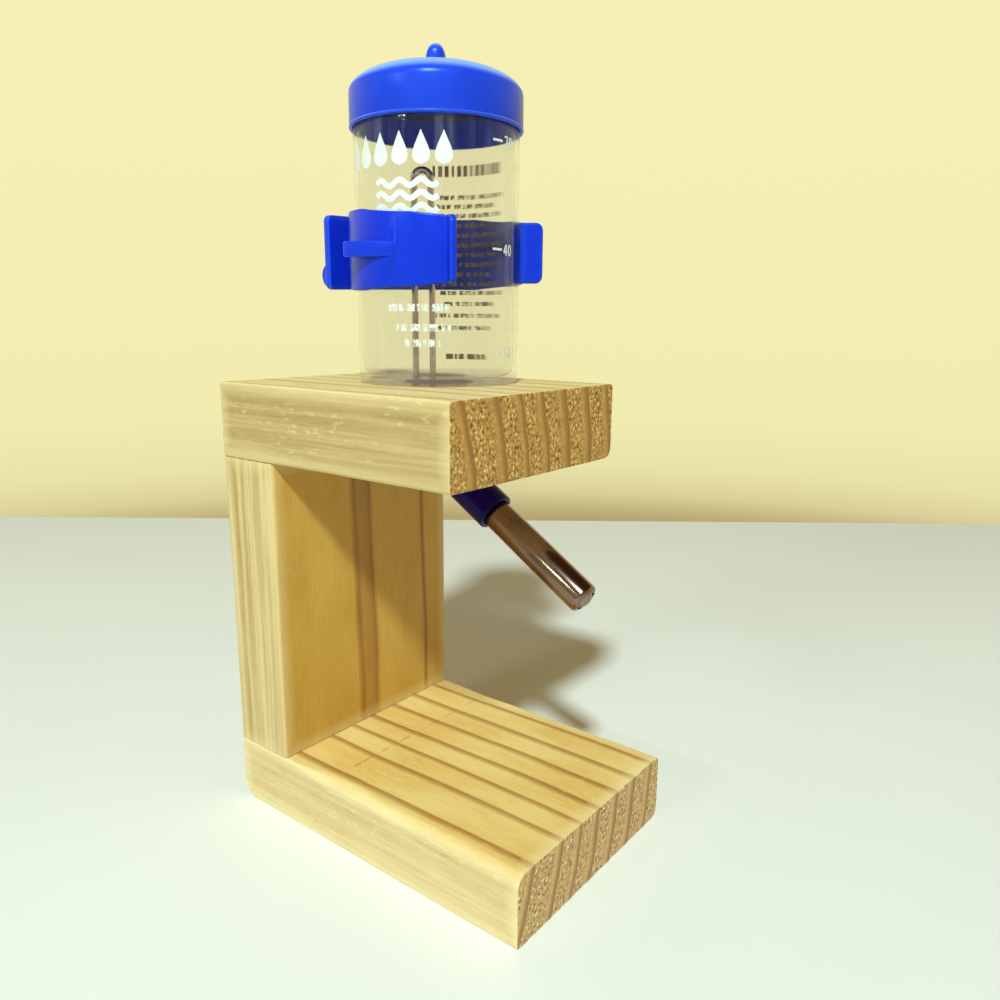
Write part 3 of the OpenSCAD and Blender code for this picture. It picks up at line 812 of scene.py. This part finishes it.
def make_stand():
    fasteners = [node_box(f"base_screw_{side}") for side in SIDES]
    spots = [((low.x + high.x) / 2, (low.y + high.y) / 2) for low, high in fasteners]
    screw_top = fasteners[0][1].z + 1
    dowel_low, dowel_high = node_box("top_dowel_left")
    dowel_r = (dowel_high.x - dowel_low.x) / 2 + DOWEL_GAP
    level, upright = (0, 2, 1), (0, 1, 2)

    def screw_holes():
        return [screw_cutter(x, y, screw_top) for x, y in spots]

    def dowel_holes(low, high):
        return [rod([(dowel_r, low), (dowel_r, high)], Matrix.Translation((x, y, 0)), 48) for x, y in spots]

    make_board("base", level, (-90, 20), ring_stops(BASE_RINGS), ring_stops(BASE_RINGS, CALM), BASE_TONES,
               {(-1, 1): (0.7, 3.4), (1, 1): (0.7, 1.6), (-1, -1): (0.6, 0.6), (1, -1): (2.0, 3.2)},
               screw_holes(), pencil_at=12.0, end_radius=0.3, heel=6.0)
    make_board("post", upright, (-128, 77), POST_LATE, POST_LATE, POST_TONES,
               {(-1, 1): (0.7, 0.7), (1, 1): (0.7, 0.7), (-1, -1): (1.3, 0.7), (1, -1): (0.5, 0.5)},
               screw_holes() + dowel_holes(dowel_low.z - 0.5, dowel_high.z), end_radius=0.2)
    bottle_hole = rod([(HOLE_R, NECK_END - HOLE_BELOW), (HOLE_R, MOUTH)], ON_AXIS)
    make_board("top", level, (-90, -16), ring_stops(TOP_RINGS), ring_stops(TOP_RINGS, CALM), TOP_TONES,
               {(-1, 1): (0.8, 1.3), (1, 1): (0.8, 1.0), (-1, -1): (0.4, 0.9), (1, -1): (2.4, 3.4)},
               [bottle_hole] + dowel_holes(dowel_low.z, dowel_high.z + 0.5), end_radius=0.25)

    screws = steel("screw_steel", (196, 190, 172), rough=0.28, scratches=0.22)
    wood = dowel_wood()
    for side in SIDES:
        paint_node(f"base_screw_{side}", screws)
        paint_node(f"top_dowel_{side}", wood)


# ---------------------------------------------------------------- bottle and lid

def make_bottle():
    bore = BOTTLE_R - WALL
    outline = [(NECK_BORE, NECK_END + 0.3), (NECK_BORE + 0.3, NECK_END), (NECK_R - 0.2, NECK_END),
               (NECK_R, NECK_END + 0.2)]
    for i in range(THREAD_TURNS):
        low = NECK_END + 1 + i * THREAD_PITCH
        outline += [(NECK_R, low), (NECK_R + THREAD, low + 0.4), (NECK_R + THREAD, low + 0.9),
                    (NECK_R, low + 1.3)]
    outline += arc((NECK_R + NECK_COVE, DECK - NECK_COVE), NECK_COVE, 180, 90, 4)
    outline += arc((BOTTLE_R - FOOT_R, DECK + FOOT_R), FOOT_R, -90, 0, 12)
    outline += arc((BOTTLE_R - MOUTH_R, MOUTH - MOUTH_R), MOUTH_R, 0, 90, 4)
    outline += arc((bore + MOUTH_R, MOUTH - MOUTH_R), MOUTH_R, 90, 180, 4)
    outline += arc((bore - COVE_R, DECK + FLOOR + COVE_R), COVE_R, 0, -90, 12)
    outline += arc((NECK_BORE + 0.5, DECK + FLOOR - 0.5), 0.5, 90, 180, 4)
    piece = lathe("bottle_clear", outline, ON_AXIS, 192, sharp=35)
    finish_piece(piece, clear_plastic(), "bottle", "clear_plastic", "bottle_body")


def tab_piece(low, high, steps=16, sides=48):
    """The pull tab: loops that shrink towards a rounded top, with a small flare at the root."""
    turn = ON_AXIS @ turned(TAB_TURN, "Z")
    loops = []
    for i in range(steps + 1):
        height = low - TAB_ROOT + (high - low + TAB_ROOT) * math.sin(i / steps * math.pi / 2)
        up = max(0.0, (height - low) / (high - low))
        flare = TAB_FLARE * math.exp(-max(height - low + 0.4, 0.0) / 0.5)
        wide = max(TAB_THICK / 2 * max(1 - up ** 2.4, 0.0) ** 0.5, 0.05) + flare
        long = max(TAB_LEN / 2 * max(1 - up ** 5, 0.0) ** 0.5, 0.5) + flare
        loop = []
        for k in range(sides):
            across, along = math.cos(2 * math.pi * k / sides), math.sin(2 * math.pi * k / sides)
            x = math.copysign(abs(across) ** 0.8, across) * wide
            y = math.copysign(abs(along) ** 0.55, along) * long
            loop.append(turn @ Vector((x, y, height)))
        loops.append(loop)
    return add_mesh("tab", *skin(loops))


def quarter(reach, low, width, rise, angles):
    """Points on a quarter of an ellipse, from (reach, low) up to the height low + rise."""
    return [(reach - width + width * math.cos(math.radians(a)), low + rise * math.sin(math.radians(a)))
            for a in angles]


def make_lid(material):
    low, high = node_box("lid")
    rim, top = low.z, high.z - LID_TAB
    side = rim + LID_SIDE
    radius = (high.x - low.x) / 2
    outer = radius - LID_DRAFT
    ceiling = MOUTH + GASKET_THICK
    bore = BOTTLE_R + LID_GAP
    outline = [(bore, rim + 0.2), (bore + 0.2, rim)]
    outline += arc((radius - 0.4, rim + 0.4), 0.4, -90, 60, 6)
    outline += [(outer + 0.04, rim + 1.0)] + quarter(outer, side, DOME_REACH, top - side, range(0, 91, 5))
    outline += [(0, top), (0, top - LID_WALL)]
    outline += quarter(BOTTLE_R - GASKET_WIDE, ceiling, CEILING_REACH, top - LID_WALL - ceiling,
                       range(90, -1, -10))
    outline += [(bore, ceiling)]
    shell = lathe("lid_shell", outline, ON_AXIS, 160, sharp=35)
    combine(shell, [tab_piece(top, high.z)], "UNION", 35)
    finish_piece(shell, material, "lid_cap", "blue_plastic", "lid")
    paint_node("lid_gasket", rubber())


# ---------------------------------------------------------------- print on the bottle

INK_LOW, INK_HIGH = 0.012, 0.045 # the ink's two faces above the bottle's wall
INK_STEP = 0.7                   # longest straight step round the bottle
TEN_ML = 8.1                     # height of ten millilitres in the bottle
SCALE_AT = (BOTTLE_R * math.radians(39), BOTTLE_R * math.radians(50))    # side of the ticks and figures
TICK = 3.2                       # length of a tick
FIGURE = 2.6                     # height of a figure
FIGURE_PITCH = 1.9
DROP_PITCH = 5.2
WAVE_PITCH = 2.8
BAR_PITCH = 1.75


def ink_object(name, strips, tone, worn_tone, fine=False):
    """One ink's print. A strip is a list of stations, each a pair of (side, height) points."""
    points, faces = [], []

    def on_wall(spot, lift):
        angle = math.radians(FACING) + spot[0] / BOTTLE_R
        reach = BOTTLE_R + lift
        return Vector((AXIS.x + reach * math.cos(angle), AXIS.y + reach * math.sin(angle), spot[1]))

    for strip in strips:
        widest = max(abs(a[0] - b[0]) for a, b in strip)
        count = max(1, math.ceil(widest / INK_STEP))
        loops = []
        for a, b in strip:
            across = [Vector(a).lerp(Vector(b), i / count) for i in range(count + 1)]
            loops.append([on_wall(spot, INK_HIGH) for spot in across]
                         + [on_wall(spot, INK_LOW) for spot in reversed(across)])
        made, sides = skin(loops)
        faces += [[corner + len(points) for corner in face] for face in sides]
        points += made
    piece = add_mesh("print_" + name, points, faces, sharp=30)
    finish_piece(piece, ink("ink_" + name, tone, worn_tone, fine), "bottle", None)


def stroke(route, width):
    """Stations of a stroke of that width along a route of (side, height) points."""
    stations = []
    for i, (side, height) in enumerate(route):
        along = heading(route, i)
        x, y = -along.y * width / 2, along.x * width / 2
        stations.append(((side + x, height + y), (side - x, height - y)))
    return stations


def drop(middle, low, tall, wide, steps=14):
    """Stations of a water drop: round below and pointed above."""
    stations = []
    for i in range(steps + 1):
        share = i / steps
        half = wide / 2 * math.sin(math.pi * share ** 0.62) ** 0.9 if 0 < share < 1 else 0.05
        half = max(half * (1.15 - 0.45 * share), 0.06)
        stations.append(((middle - half, low + tall * share), (middle + half, low + tall * share)))
    return stations


def wave(start, length, middle, swing, width, periods, steps=24):
    return stroke([(start + length * i / steps, middle + swing * math.sin(2 * math.pi * periods * i / steps))
                   for i in range(steps + 1)], width)


def dashes(start, end, height, width, seed):
    """A row of short dashes of uneven length, where the real bottle has small print."""
    row, at, i = [], start, seed
    while at < end:
        length = 0.7 + 0.45 * ((i * 7) % 5)
        stop = min(at + length, end)
        if stop - at > 0.3:
            count = max(2, math.ceil((stop - at) / 0.6))
            row.append(stroke([(at + (stop - at) * k / count, height) for k in range(count + 1)], width))
        at = stop + (0.45 if i % 3 else 0.9)
        i += 1
    return row


def digit(figure, side, low, tall):
    """Strokes of a plain figure of the scale. Its corners are shares of its width and height."""
    strokes = {
        "1": [[(0.5, 0.0), (0.5, 0.98)], [(0.5, 0.95), (0.2, 0.72)]],
        "0": [[(0.5 + 0.42 * math.cos(math.radians(a)), 0.5 + 0.44 * math.sin(math.radians(a)))
               for a in range(0, 361, 20)]],
        "4": [[(0.75, 0.0), (0.75, 0.98)], [(0.72, 0.95), (0.05, 0.32)], [(0.0, 0.3), (1.0, 0.3)]],
        "7": [[(0.05, 0.93), (0.95, 0.93)], [(0.9, 0.9), (0.4, 0.0)]],
    }
    wide = tall * 0.55
    return [[(side + x * wide, low + y * tall) for x, y in route] for route in strokes[figure]]


def front_print():
    """Two bold rows, drops above and waves below, then three rows of small print."""
    bold = [drop(1.6 - i * DROP_PITCH, low=DECK + 50.2, tall=7.3, wide=4.0) for i in range(6)]
    bold += [wave(start=-15.4, length=15.6, middle=DECK + 40.8 + i * WAVE_PITCH, swing=0.7, width=1.3,
                  periods=3) for i in range(3)]
    small = []
    for low, start, end, seed in ((18.6, -12.6, 3.2, 2), (14.0, -10.4, 3.0, 5), (10.4, -8.2, 0.4, 3)):
        small += dashes(start, end, DECK + low, width=1.7, seed=seed)
    return bold, small


def volume_scale():
    """A tick and a figure for every thirty millilitres."""
    strips = []
    start, figure_at = SCALE_AT
    for tens in (1, 4, 7):
        height = DECK + tens * TEN_ML
        tick = [(start, height), (start + TICK / 2, height), (start + TICK, height)]
        strips.append(stroke(tick, width=0.55))
        for place, figure in enumerate(str(tens * 10)):
            for route in digit(figure, figure_at + place * FIGURE_PITCH, height - FIGURE / 2, FIGURE):
                strips.append(stroke(route, width=0.42))
    return strips


def back_print():
    """The block of small print on the far side, read from behind."""
    far = math.pi * BOTTLE_R
    bold, small = [], []
    for i in range(12):
        side = far - 1.0 + i * BAR_PITCH
        mark = [(side, DECK + low) for low in (54.0, 55.4, 56.8)]
        bold.append(stroke(mark, 1.15 if i % 3 else 0.7))
    bold += dashes(far + 2.0, far + 14.0, DECK + 5.6, width=1.5, seed=4)
    rows = (48.6, 46.2, 43.8, 41.2, 38.6, 36.0, 33.4, 30.8, 28.2, 25.6, 23.2, 20.2, 17.0, 13.6)
    for i, low in enumerate(rows):
        start, end = far - 1.5 + (i * 5) % 4, far + 20.0 - (i * 3) % 5
        small += dashes(start, end, DECK + low, width=1.15, seed=i + 1)
    # seen from outside, the block runs the other way round the bottle
    return [[[tuple((2 * far - side, height) for side, height in station) for station in strip]
             for strip in block] for block in (bold, small)]


def make_print():
    front, small_front = front_print()
    back, small_back = back_print()
    ink_object("white", front + volume_scale(), (214, 218, 214), (192, 198, 194))
    ink_object("brown", back, (186, 126, 94), (202, 150, 116))
    ink_object("white_fine", small_front, (222, 222, 214), (200, 200, 190), fine=True)
    ink_object("brown_fine", small_back, (172, 134, 118), (190, 156, 138), fine=True)


# ---------------------------------------------------------------- outlet and spout

def spout_place():
    """The frame whose +Z runs down the spout from the elbow's corner."""
    corner = Vector((AXIS.x, AXIS.y, node_box("post_board")[1].z - CORNER_DROP))
    return Matrix.Translation(corner) @ turned(90 + SPOUT_FALL, "X")


def ball(name, place, radius, segments=64):
    outline = [(max(x, 0.0), y) for x, y in arc((0, 0), radius, -90, 90, 32)]
    outline[0], outline[-1] = (0, -radius), (0, radius)
    return lathe(name, outline, place, segments)


def make_elbow(material):
    low, high = node_box("outlet_elbow")
    place = spout_place()
    corner_z = place.translation.z
    collar_r = (high.x - low.x) / 2 - RIB_PROUD
    floor_top = NECK_END - WASHER
    floor_low = floor_top - COLLAR_FLOOR
    collar_top = floor_low + COLLAR_TALL
    socket = SLEEVE_LEN - TUBE_IN
    socket_r = TUBE_R + SOCKET_GAP
    piece = lathe("outlet_elbow_moulded", rounded([
        (0, floor_low, 0), (SLEEVE_R + 0.6, floor_low, 0), (collar_r, floor_low, 0.8),
        (collar_r, collar_top, 0.4), (0, collar_top, 0)]), ON_AXIS, 96)
    rib = [(0.4, floor_low + 1.2), (RIB_R, floor_low + 1.7), (RIB_R, collar_top - 1.2),
           (0.4, collar_top - 0.8)]
    spots = arc((AXIS.x, AXIS.y), collar_r + RIB_PROUD - RIB_MIDDLE, 0, 360, COLLAR_RIBS)[:-1]
    ribs = [rod(rib, Matrix.Translation((*spot, 0)), 16) for spot in spots]
    neck = rod([(SLEEVE_R, corner_z), (SLEEVE_R, floor_low - NECK_FLARE),
                (SLEEVE_R + NECK_FLARE, floor_low + 0.1)], ON_AXIS)
    sleeve = lathe("sleeve", rounded([
        (0, 0, 0), (SLEEVE_R, 0, 0), (SLEEVE_R, SLEEVE_LEN, 0.55), (socket_r, SLEEVE_LEN, 0.2),
        (socket_r, socket, 0), (0, socket, 0)]), place, 96)
    combine(piece, [neck, ball("bend", place, SLEEVE_R, 96), sleeve] + ribs, "UNION", 35)
    thread_room = NECK_R + THREAD + THREAD_GAP
    down_neck = rod([(PASSAGE_R, corner_z - 0.3), (PASSAGE_R, floor_top), (thread_room, floor_top),
                     (thread_room, collar_top + 1)], ON_AXIS)
    down_sleeve = rod([(PASSAGE_R, -0.2), (PASSAGE_R, socket + 0.5)], place, 64)
    combine(piece, [down_neck, down_sleeve], "DIFFERENCE", 35)
    finish_piece(piece, material, "bottle", "blue_plastic", "outlet_elbow")
    paint_node("outlet_washer", bpy.data.materials["seal_rubber"])


def make_tube():
    place = spout_place()
    start, tip = SLEEVE_LEN - TUBE_IN, SLEEVE_LEN + TUBE_OUT - TIP_ROUND
    outline = [(TUBE_R - TUBE_WALL, start + 0.1), (TUBE_R - 0.1, start), (TUBE_R, start + 0.1)]
    outline += arc((TUBE_R - TIP_ROUND, tip), TIP_ROUND, 0, 84, 12)
    outline += arc((TUBE_R - TIP_ROUND, tip), TIP_ROUND - TUBE_WALL, 84, 0, 8)
    piece = lathe("drink_tube_rolled", outline, place, 96, sharp=50)
    metal = steel("tube_steel", (138, 112, 100), rough=0.14, scratches=0.06, fine=0.002)
    finish_piece(piece, metal, "bottle", "tube_steel", "drink_tube")
    bright = steel("ball_steel", (156, 138, 126), rough=0.05, scratches=0.08, fine=0.003)
    for node, body in (("ball_front", "front_ball"), ("ball_rear", "rear_ball")):
        low, high = node_box(node)
        where = Matrix.Translation((low + high) / 2) @ place.to_3x3().to_4x4()
        finish_piece(ball(node + "_ground", where, (high.x - low.x) / 2), bright, body, "ball_steel", node)


def make_wire(steps=30, sides=20):
    """The hairpin in the neck, bent by hand, so its legs aren't quite straight."""
    low, high = node_box("outlet_wire")
    centre = (low + high) / 2
    place = Matrix.Translation((centre.x, centre.y, 0)) @ turned(TAB_TURN, "Z")
    half = WIRE_GAP / 2
    bend_z = high.z - half - WIRE_R
    leg = [(half + WIRE_BOW * math.sin(math.pi * i / steps), low.z + (bend_z - low.z) * i / steps)
           for i in range(steps)]
    route = leg + arc((0, bend_z), half, 0, 180, 24) + [(-x, z) for x, z in reversed(leg)]
    loops = []
    for i, (x, z) in enumerate(route):
        along = heading(route, i)
        circle = arc((0, 0), WIRE_R, 0, 360, sides)[:-1]
        loops.append([place @ Vector((x - along.y * out, side, z + along.x * out)) for out, side in circle])
    metal = steel("wire_steel", (214, 194, 196), rough=0.10, scratches=0.16, fine=0.01, stretch=(3, 3, 0.3))
    finish_piece(add_mesh("outlet_wire_bent", *skin(loops)), metal, "bottle", "wire_steel", "outlet_wire")


# ---------------------------------------------------------------- clip

def band_route():
    """The band's middle line seen from above, from one lip's end to the other."""
    radius = BAND_R + BAND / 2
    half_lip = LIP / 2
    reach = math.sqrt(LIP_REACH ** 2 - half_lip ** 2) - 0.02
    inner = radius * math.cos(math.asin(half_lip / radius)) + LIP_BEND
    # along the lip: local x runs out along the tip's direction, local y into the band
    lip = [(reach - (reach - inner) * (i / 10) ** 1.5, half_lip) for i in range(11)]
    bend = [(inner - LIP_BEND * math.sin(a), half_lip + LIP_BEND - LIP_BEND * math.cos(a))
            for a in (math.pi / 2 * i / 6 for i in range(1, 6))]
    turn = Matrix.Rotation(math.radians(TIP_ANGLE - 90), 2)
    side = [tuple(turn @ Vector(spot)) for spot in lip + bend]
    first = math.degrees(math.atan2(side[-1][1], side[-1][0])) + 1.2
    right = side + arc((0, 0), radius, first, 90, 60)
    return right + [(-x, y) for x, y in reversed(right[:-1])]


def band_half_height(y):
    """Half of the band's height, which falls from the back to the two tips."""
    low, high = node_box("bottle_clip")
    start, middle = TAPER
    if y >= start:
        return (high.z - low.z) / 2
    if y >= middle:
        share = math.sin((start - y) / (start - middle) * math.pi / 2)
        return (high.z - low.z + (BAND_MID_H - high.z + low.z) * share) / 2
    tip_y = -BAND_R * math.cos(math.radians(TIP_ANGLE))
    share = min((middle - y) / (middle - tip_y), 1.0)
    return (BAND_MID_H + (BAND_TIP_H - BAND_MID_H) * share) / 2


def rounded_end(radius, from_end):
    """How much narrower a shape with rounded corners is at a distance from its end."""
    return radius - math.sqrt(max(radius ** 2 - max(radius - from_end, 0.0) ** 2, 0.0))


def make_band(place):
    route = band_route()
    run = [0.0]
    for a, b in zip(route, route[1:]):
        run.append(run[-1] + math.dist(a, b))
    loops = []
    for i, (x, y) in enumerate(route):
        along = heading(route, i)
        from_end = min(run[i], run[-1] - run[i])
        half = band_half_height(y) - rounded_end(LIP_CORNER, from_end)
        thick = BAND / 2 - rounded_end(BAND_EDGE, from_end)
        outline = rounded(plate_corners(thick, half, min(BAND_EDGE, thick * 0.9)), 4)
        loops.append([place @ Vector((x + along.y * a, y - along.x * a, b)) for a, b in outline])
    return add_mesh("bottle_clip_moulded", *skin(loops), sharp=50)


def make_ribs(place, steps=14):
    """Two finger ribs, which grow out of the band towards their square back ends."""
    outer = BAND_R + BAND - 0.1
    middle = BAND_R + BAND / 2
    last = math.degrees(math.asin(RIB_BACK_Y / (outer + RIB_OUT)))
    outline = []
    for i in range(steps + 1):
        share = i / steps
        angle = math.radians(RIB_START + (last - RIB_START) * share)
        reach = outer + RIB_OUT * share ** 1.8
        outline.append((reach * math.cos(angle), reach * math.sin(angle), 0.5 if share == 1 else 0.0))
    root_end = math.degrees(math.asin(RIB_BACK_Y / middle))
    outline += [(x, y, 0.0) for x, y in arc((0, 0), middle, root_end, RIB_START, 12)]
    return [slab("rib", [(side * x, y, rounding) for x, y, rounding in outline], RIB_RISE - RIB_HALF,
                 RIB_RISE + RIB_HALF, 0.4, place) for side in (-1, 1)]


def make_clip(material):
    low, high = node_box("bottle_clip")
    half = (high.z - low.z) / 2
    place = ON_AXIS @ Matrix.Translation((0, 0, (low.z + high.z) / 2))
    band = make_band(place)
    to_back = place @ turned(90, "X")       # local z runs along -Y
    plate = slab("plate", plate_corners(PLATE_W / 2, half, PLATE_CORNER), -(PLATE_Y + PLATE), -PLATE_Y,
                 PLATE_EDGE, to_back)
    block = slab("block", plate_corners(BLOCK[0] / 2, BLOCK[1] / 2, BLOCK_CORNER),
                 -(PLATE_Y + BLOCK_INTO[0]), -(BAND_R + BAND - BLOCK_INTO[1]), 0.1, to_back)
    # local z runs along X, local x along Y
    along_x = place @ turned(90, "Z") @ turned(90, "X")
    rail_y, rail_z = PLATE_Y + PLATE, -half + RAIL_R + RAIL_RISE
    root = rail_y - RAIL_INTO
    crown = [(x, y, 0.0) for x, y in arc((rail_y, rail_z), RAIL_R, -RAIL_ARC, RAIL_ARC, 18)]
    reach = PLATE_W / 2 - PLATE_CORNER
    rail = slab("rail", [(root, rail_z - RAIL_R, 0.0)] + crown + [(root, rail_z + RAIL_R, 0.0)], -reach,
                reach, 0.4, along_x)
    combine(band, [plate, block, rail] + make_ribs(place), "UNION", 50)
    slot_low, slot_high = rail_z - SLOT_HALF, rail_z + SLOT_HALF
    slot_in, slot_out = rail_y - SLOT_INTO, rail_y + SLOT_DEEP
    slot = slab("slot", [(slot_in, slot_low, 0.4), (slot_out, slot_low, 0.6), (slot_out, slot_high, 0.6),
                         (slot_in, slot_high, 0.4)], -PLATE_W, PLATE_W, 0.01, along_x)
    combine(band, [slot], "DIFFERENCE", 50)
    for vertex in band.data.vertices:
        vertex.co.z += (CLIP_SKEW[0] * (vertex.co.x - AXIS.x * MM)
                        + CLIP_SKEW[1] * (vertex.co.y - AXIS.y * MM) - CLIP_SINK * MM)
    finish_piece(band, material, "clip", "blue_plastic", "bottle_clip")


# ---------------------------------------------------------------- stage

CAMERA_PLACE = (-0.15385, -0.13742, 0.13306)     # metres
CAMERA_TURN = (77.553, 0.417, -52.174)           # tilt, roll and azimuth, degrees
CAMERA_LENS = 29.34
FLOOR_BEHIND = 0.333             # metres of floor behind the object, as the camera sees it
FLOOR_REACH = 1.5                # metres of floor on the other sides
LIGHT_FROM = (-0.593, -0.358, 0.730)
LIGHT_DISTANCE = 1.6             # metres
LIGHT_SIZE = (0.15, 0.15)
LIGHT_POWER = 32.0
STRIP_FROM = (-0.897, 0.125, 0.42)               # a weak strip lamp, which draws the line along the tube
STRIP_SIZE = (0.34, 0.05)
STRIP_POWER = 3.2
DIM_SIDE = 0.55                  # brightness of the wall behind the camera, against the one in view


def make_camera():
    data = bpy.data.cameras.new("camera")
    data.lens = CAMERA_LENS
    data.sensor_width = 36
    data.clip_start = 0.01
    camera = bpy.data.objects.new("camera", data)
    bpy.context.scene.collection.objects.link(camera)
    tilt, roll, azimuth = CAMERA_TURN
    turn = turned(azimuth, "Z") @ turned(tilt, "X") @ turned(roll, "Z")
    camera.matrix_world = Matrix.Translation(CAMERA_PLACE) @ turn
    bpy.context.scene.camera = camera


def make_floor():
    s = Shader("floor_pale")
    mottle = s.mottle(0.012, detail=3.0)
    s.set(Base_Color=s.mix(mottle, colour(229, 230, 223), colour(235, 236, 230)), Roughness=0.42)
    reach, far = FLOOR_REACH / MM, FLOOR_BEHIND / MM
    turn = turned(CAMERA_TURN[2], "Z")
    corners = [turn @ Vector((x, y, 0)) for x, y in ((-reach, -reach), (reach, -reach), (reach, far),
                                                     (-reach, far))]
    floor = add_mesh("floor", corners, [[0, 1, 2, 3]])
    floor.data.materials.append(s.made)


def make_lamp(name, shape, size, power, source):
    """An area lamp LIGHT_DISTANCE away in the direction of source; size is in metres."""
    data = bpy.data.lights.new(name, "AREA")
    data.shape = shape
    data.size, data.size_y = size
    data.energy = power
    data.color = (0.82, 1.0, 1.0)
    lamp = bpy.data.objects.new(name, data)
    bpy.context.scene.collection.objects.link(lamp)
    away = Vector(source).normalized()
    target = Vector((0, 0, node_box("top_board")[0].z * MM))
    lamp.location = target + away * LIGHT_DISTANCE
    lamp.rotation_mode = "QUATERNION"
    lamp.rotation_quaternion = away.to_track_quat("Z", "Y")


def make_world():
    """A pale, warm room whose ceiling is dim, and which is dimmer behind the camera."""
    s = Shader("room", bpy.data.worlds, "Background")
    bpy.context.scene.world = s.made
    x, y, z = s.split(s.coordinates("Generated"))
    stops = ((-0.5, (150, 140, 110)), (-0.236, (180, 162, 112)), (-0.222, (196, 182, 128)),
             (-0.203, (219, 210, 155)), (-0.17, (234, 227, 169)), (-0.11, (241, 235, 176)),
             (0.10, (245, 238, 180)), (0.34, (247, 240, 182)), (0.55, (124, 86, 46)), (0.9, (96, 66, 38)))
    height = s.plus(s.times(z, 0.5), 0.5)
    tone = s.ramp(height, [((place + 1) / 2, colour(*shown)) for place, shown in stops])
    azimuth = math.radians(CAMERA_TURN[2])
    ahead = s.plus(s.times(x, -math.sin(azimuth)), s.times(y, math.cos(azimuth)))
    s.set(Color=tone, Strength=s.between(ahead, -0.6, 0.3, DIM_SIDE, 1.0))


bpy.context.scene.view_settings.view_transform = "Standard"
make_camera()
make_floor()
make_lamp("studio_lamp", "DISK", LIGHT_SIZE, LIGHT_POWER, LIGHT_FROM)
make_lamp("strip_lamp", "RECTANGLE", STRIP_SIZE, STRIP_POWER, STRIP_FROM)
make_world()
make_stand()
make_bottle()
# the lid has a painted sheen on its top
make_lid(blue_plastic("lid_plastic", (31, 64, 204), (27, 58, 196), (90, 140, 252), painted_top_sheen=1.0))
make_print()
# a darker, more violet copy of the blue plastic: painted shade from the top board's shadow
make_elbow(blue_plastic("elbow_plastic_painted_shade", (16, 3, 74), (12, 2, 58), (30, 16, 110), sheen=(110, 90, 190)))
make_tube()
make_wire()
make_clip(blue_plastic("clip_plastic", (16, 47, 196), (14, 43, 190), (64, 120, 250)))
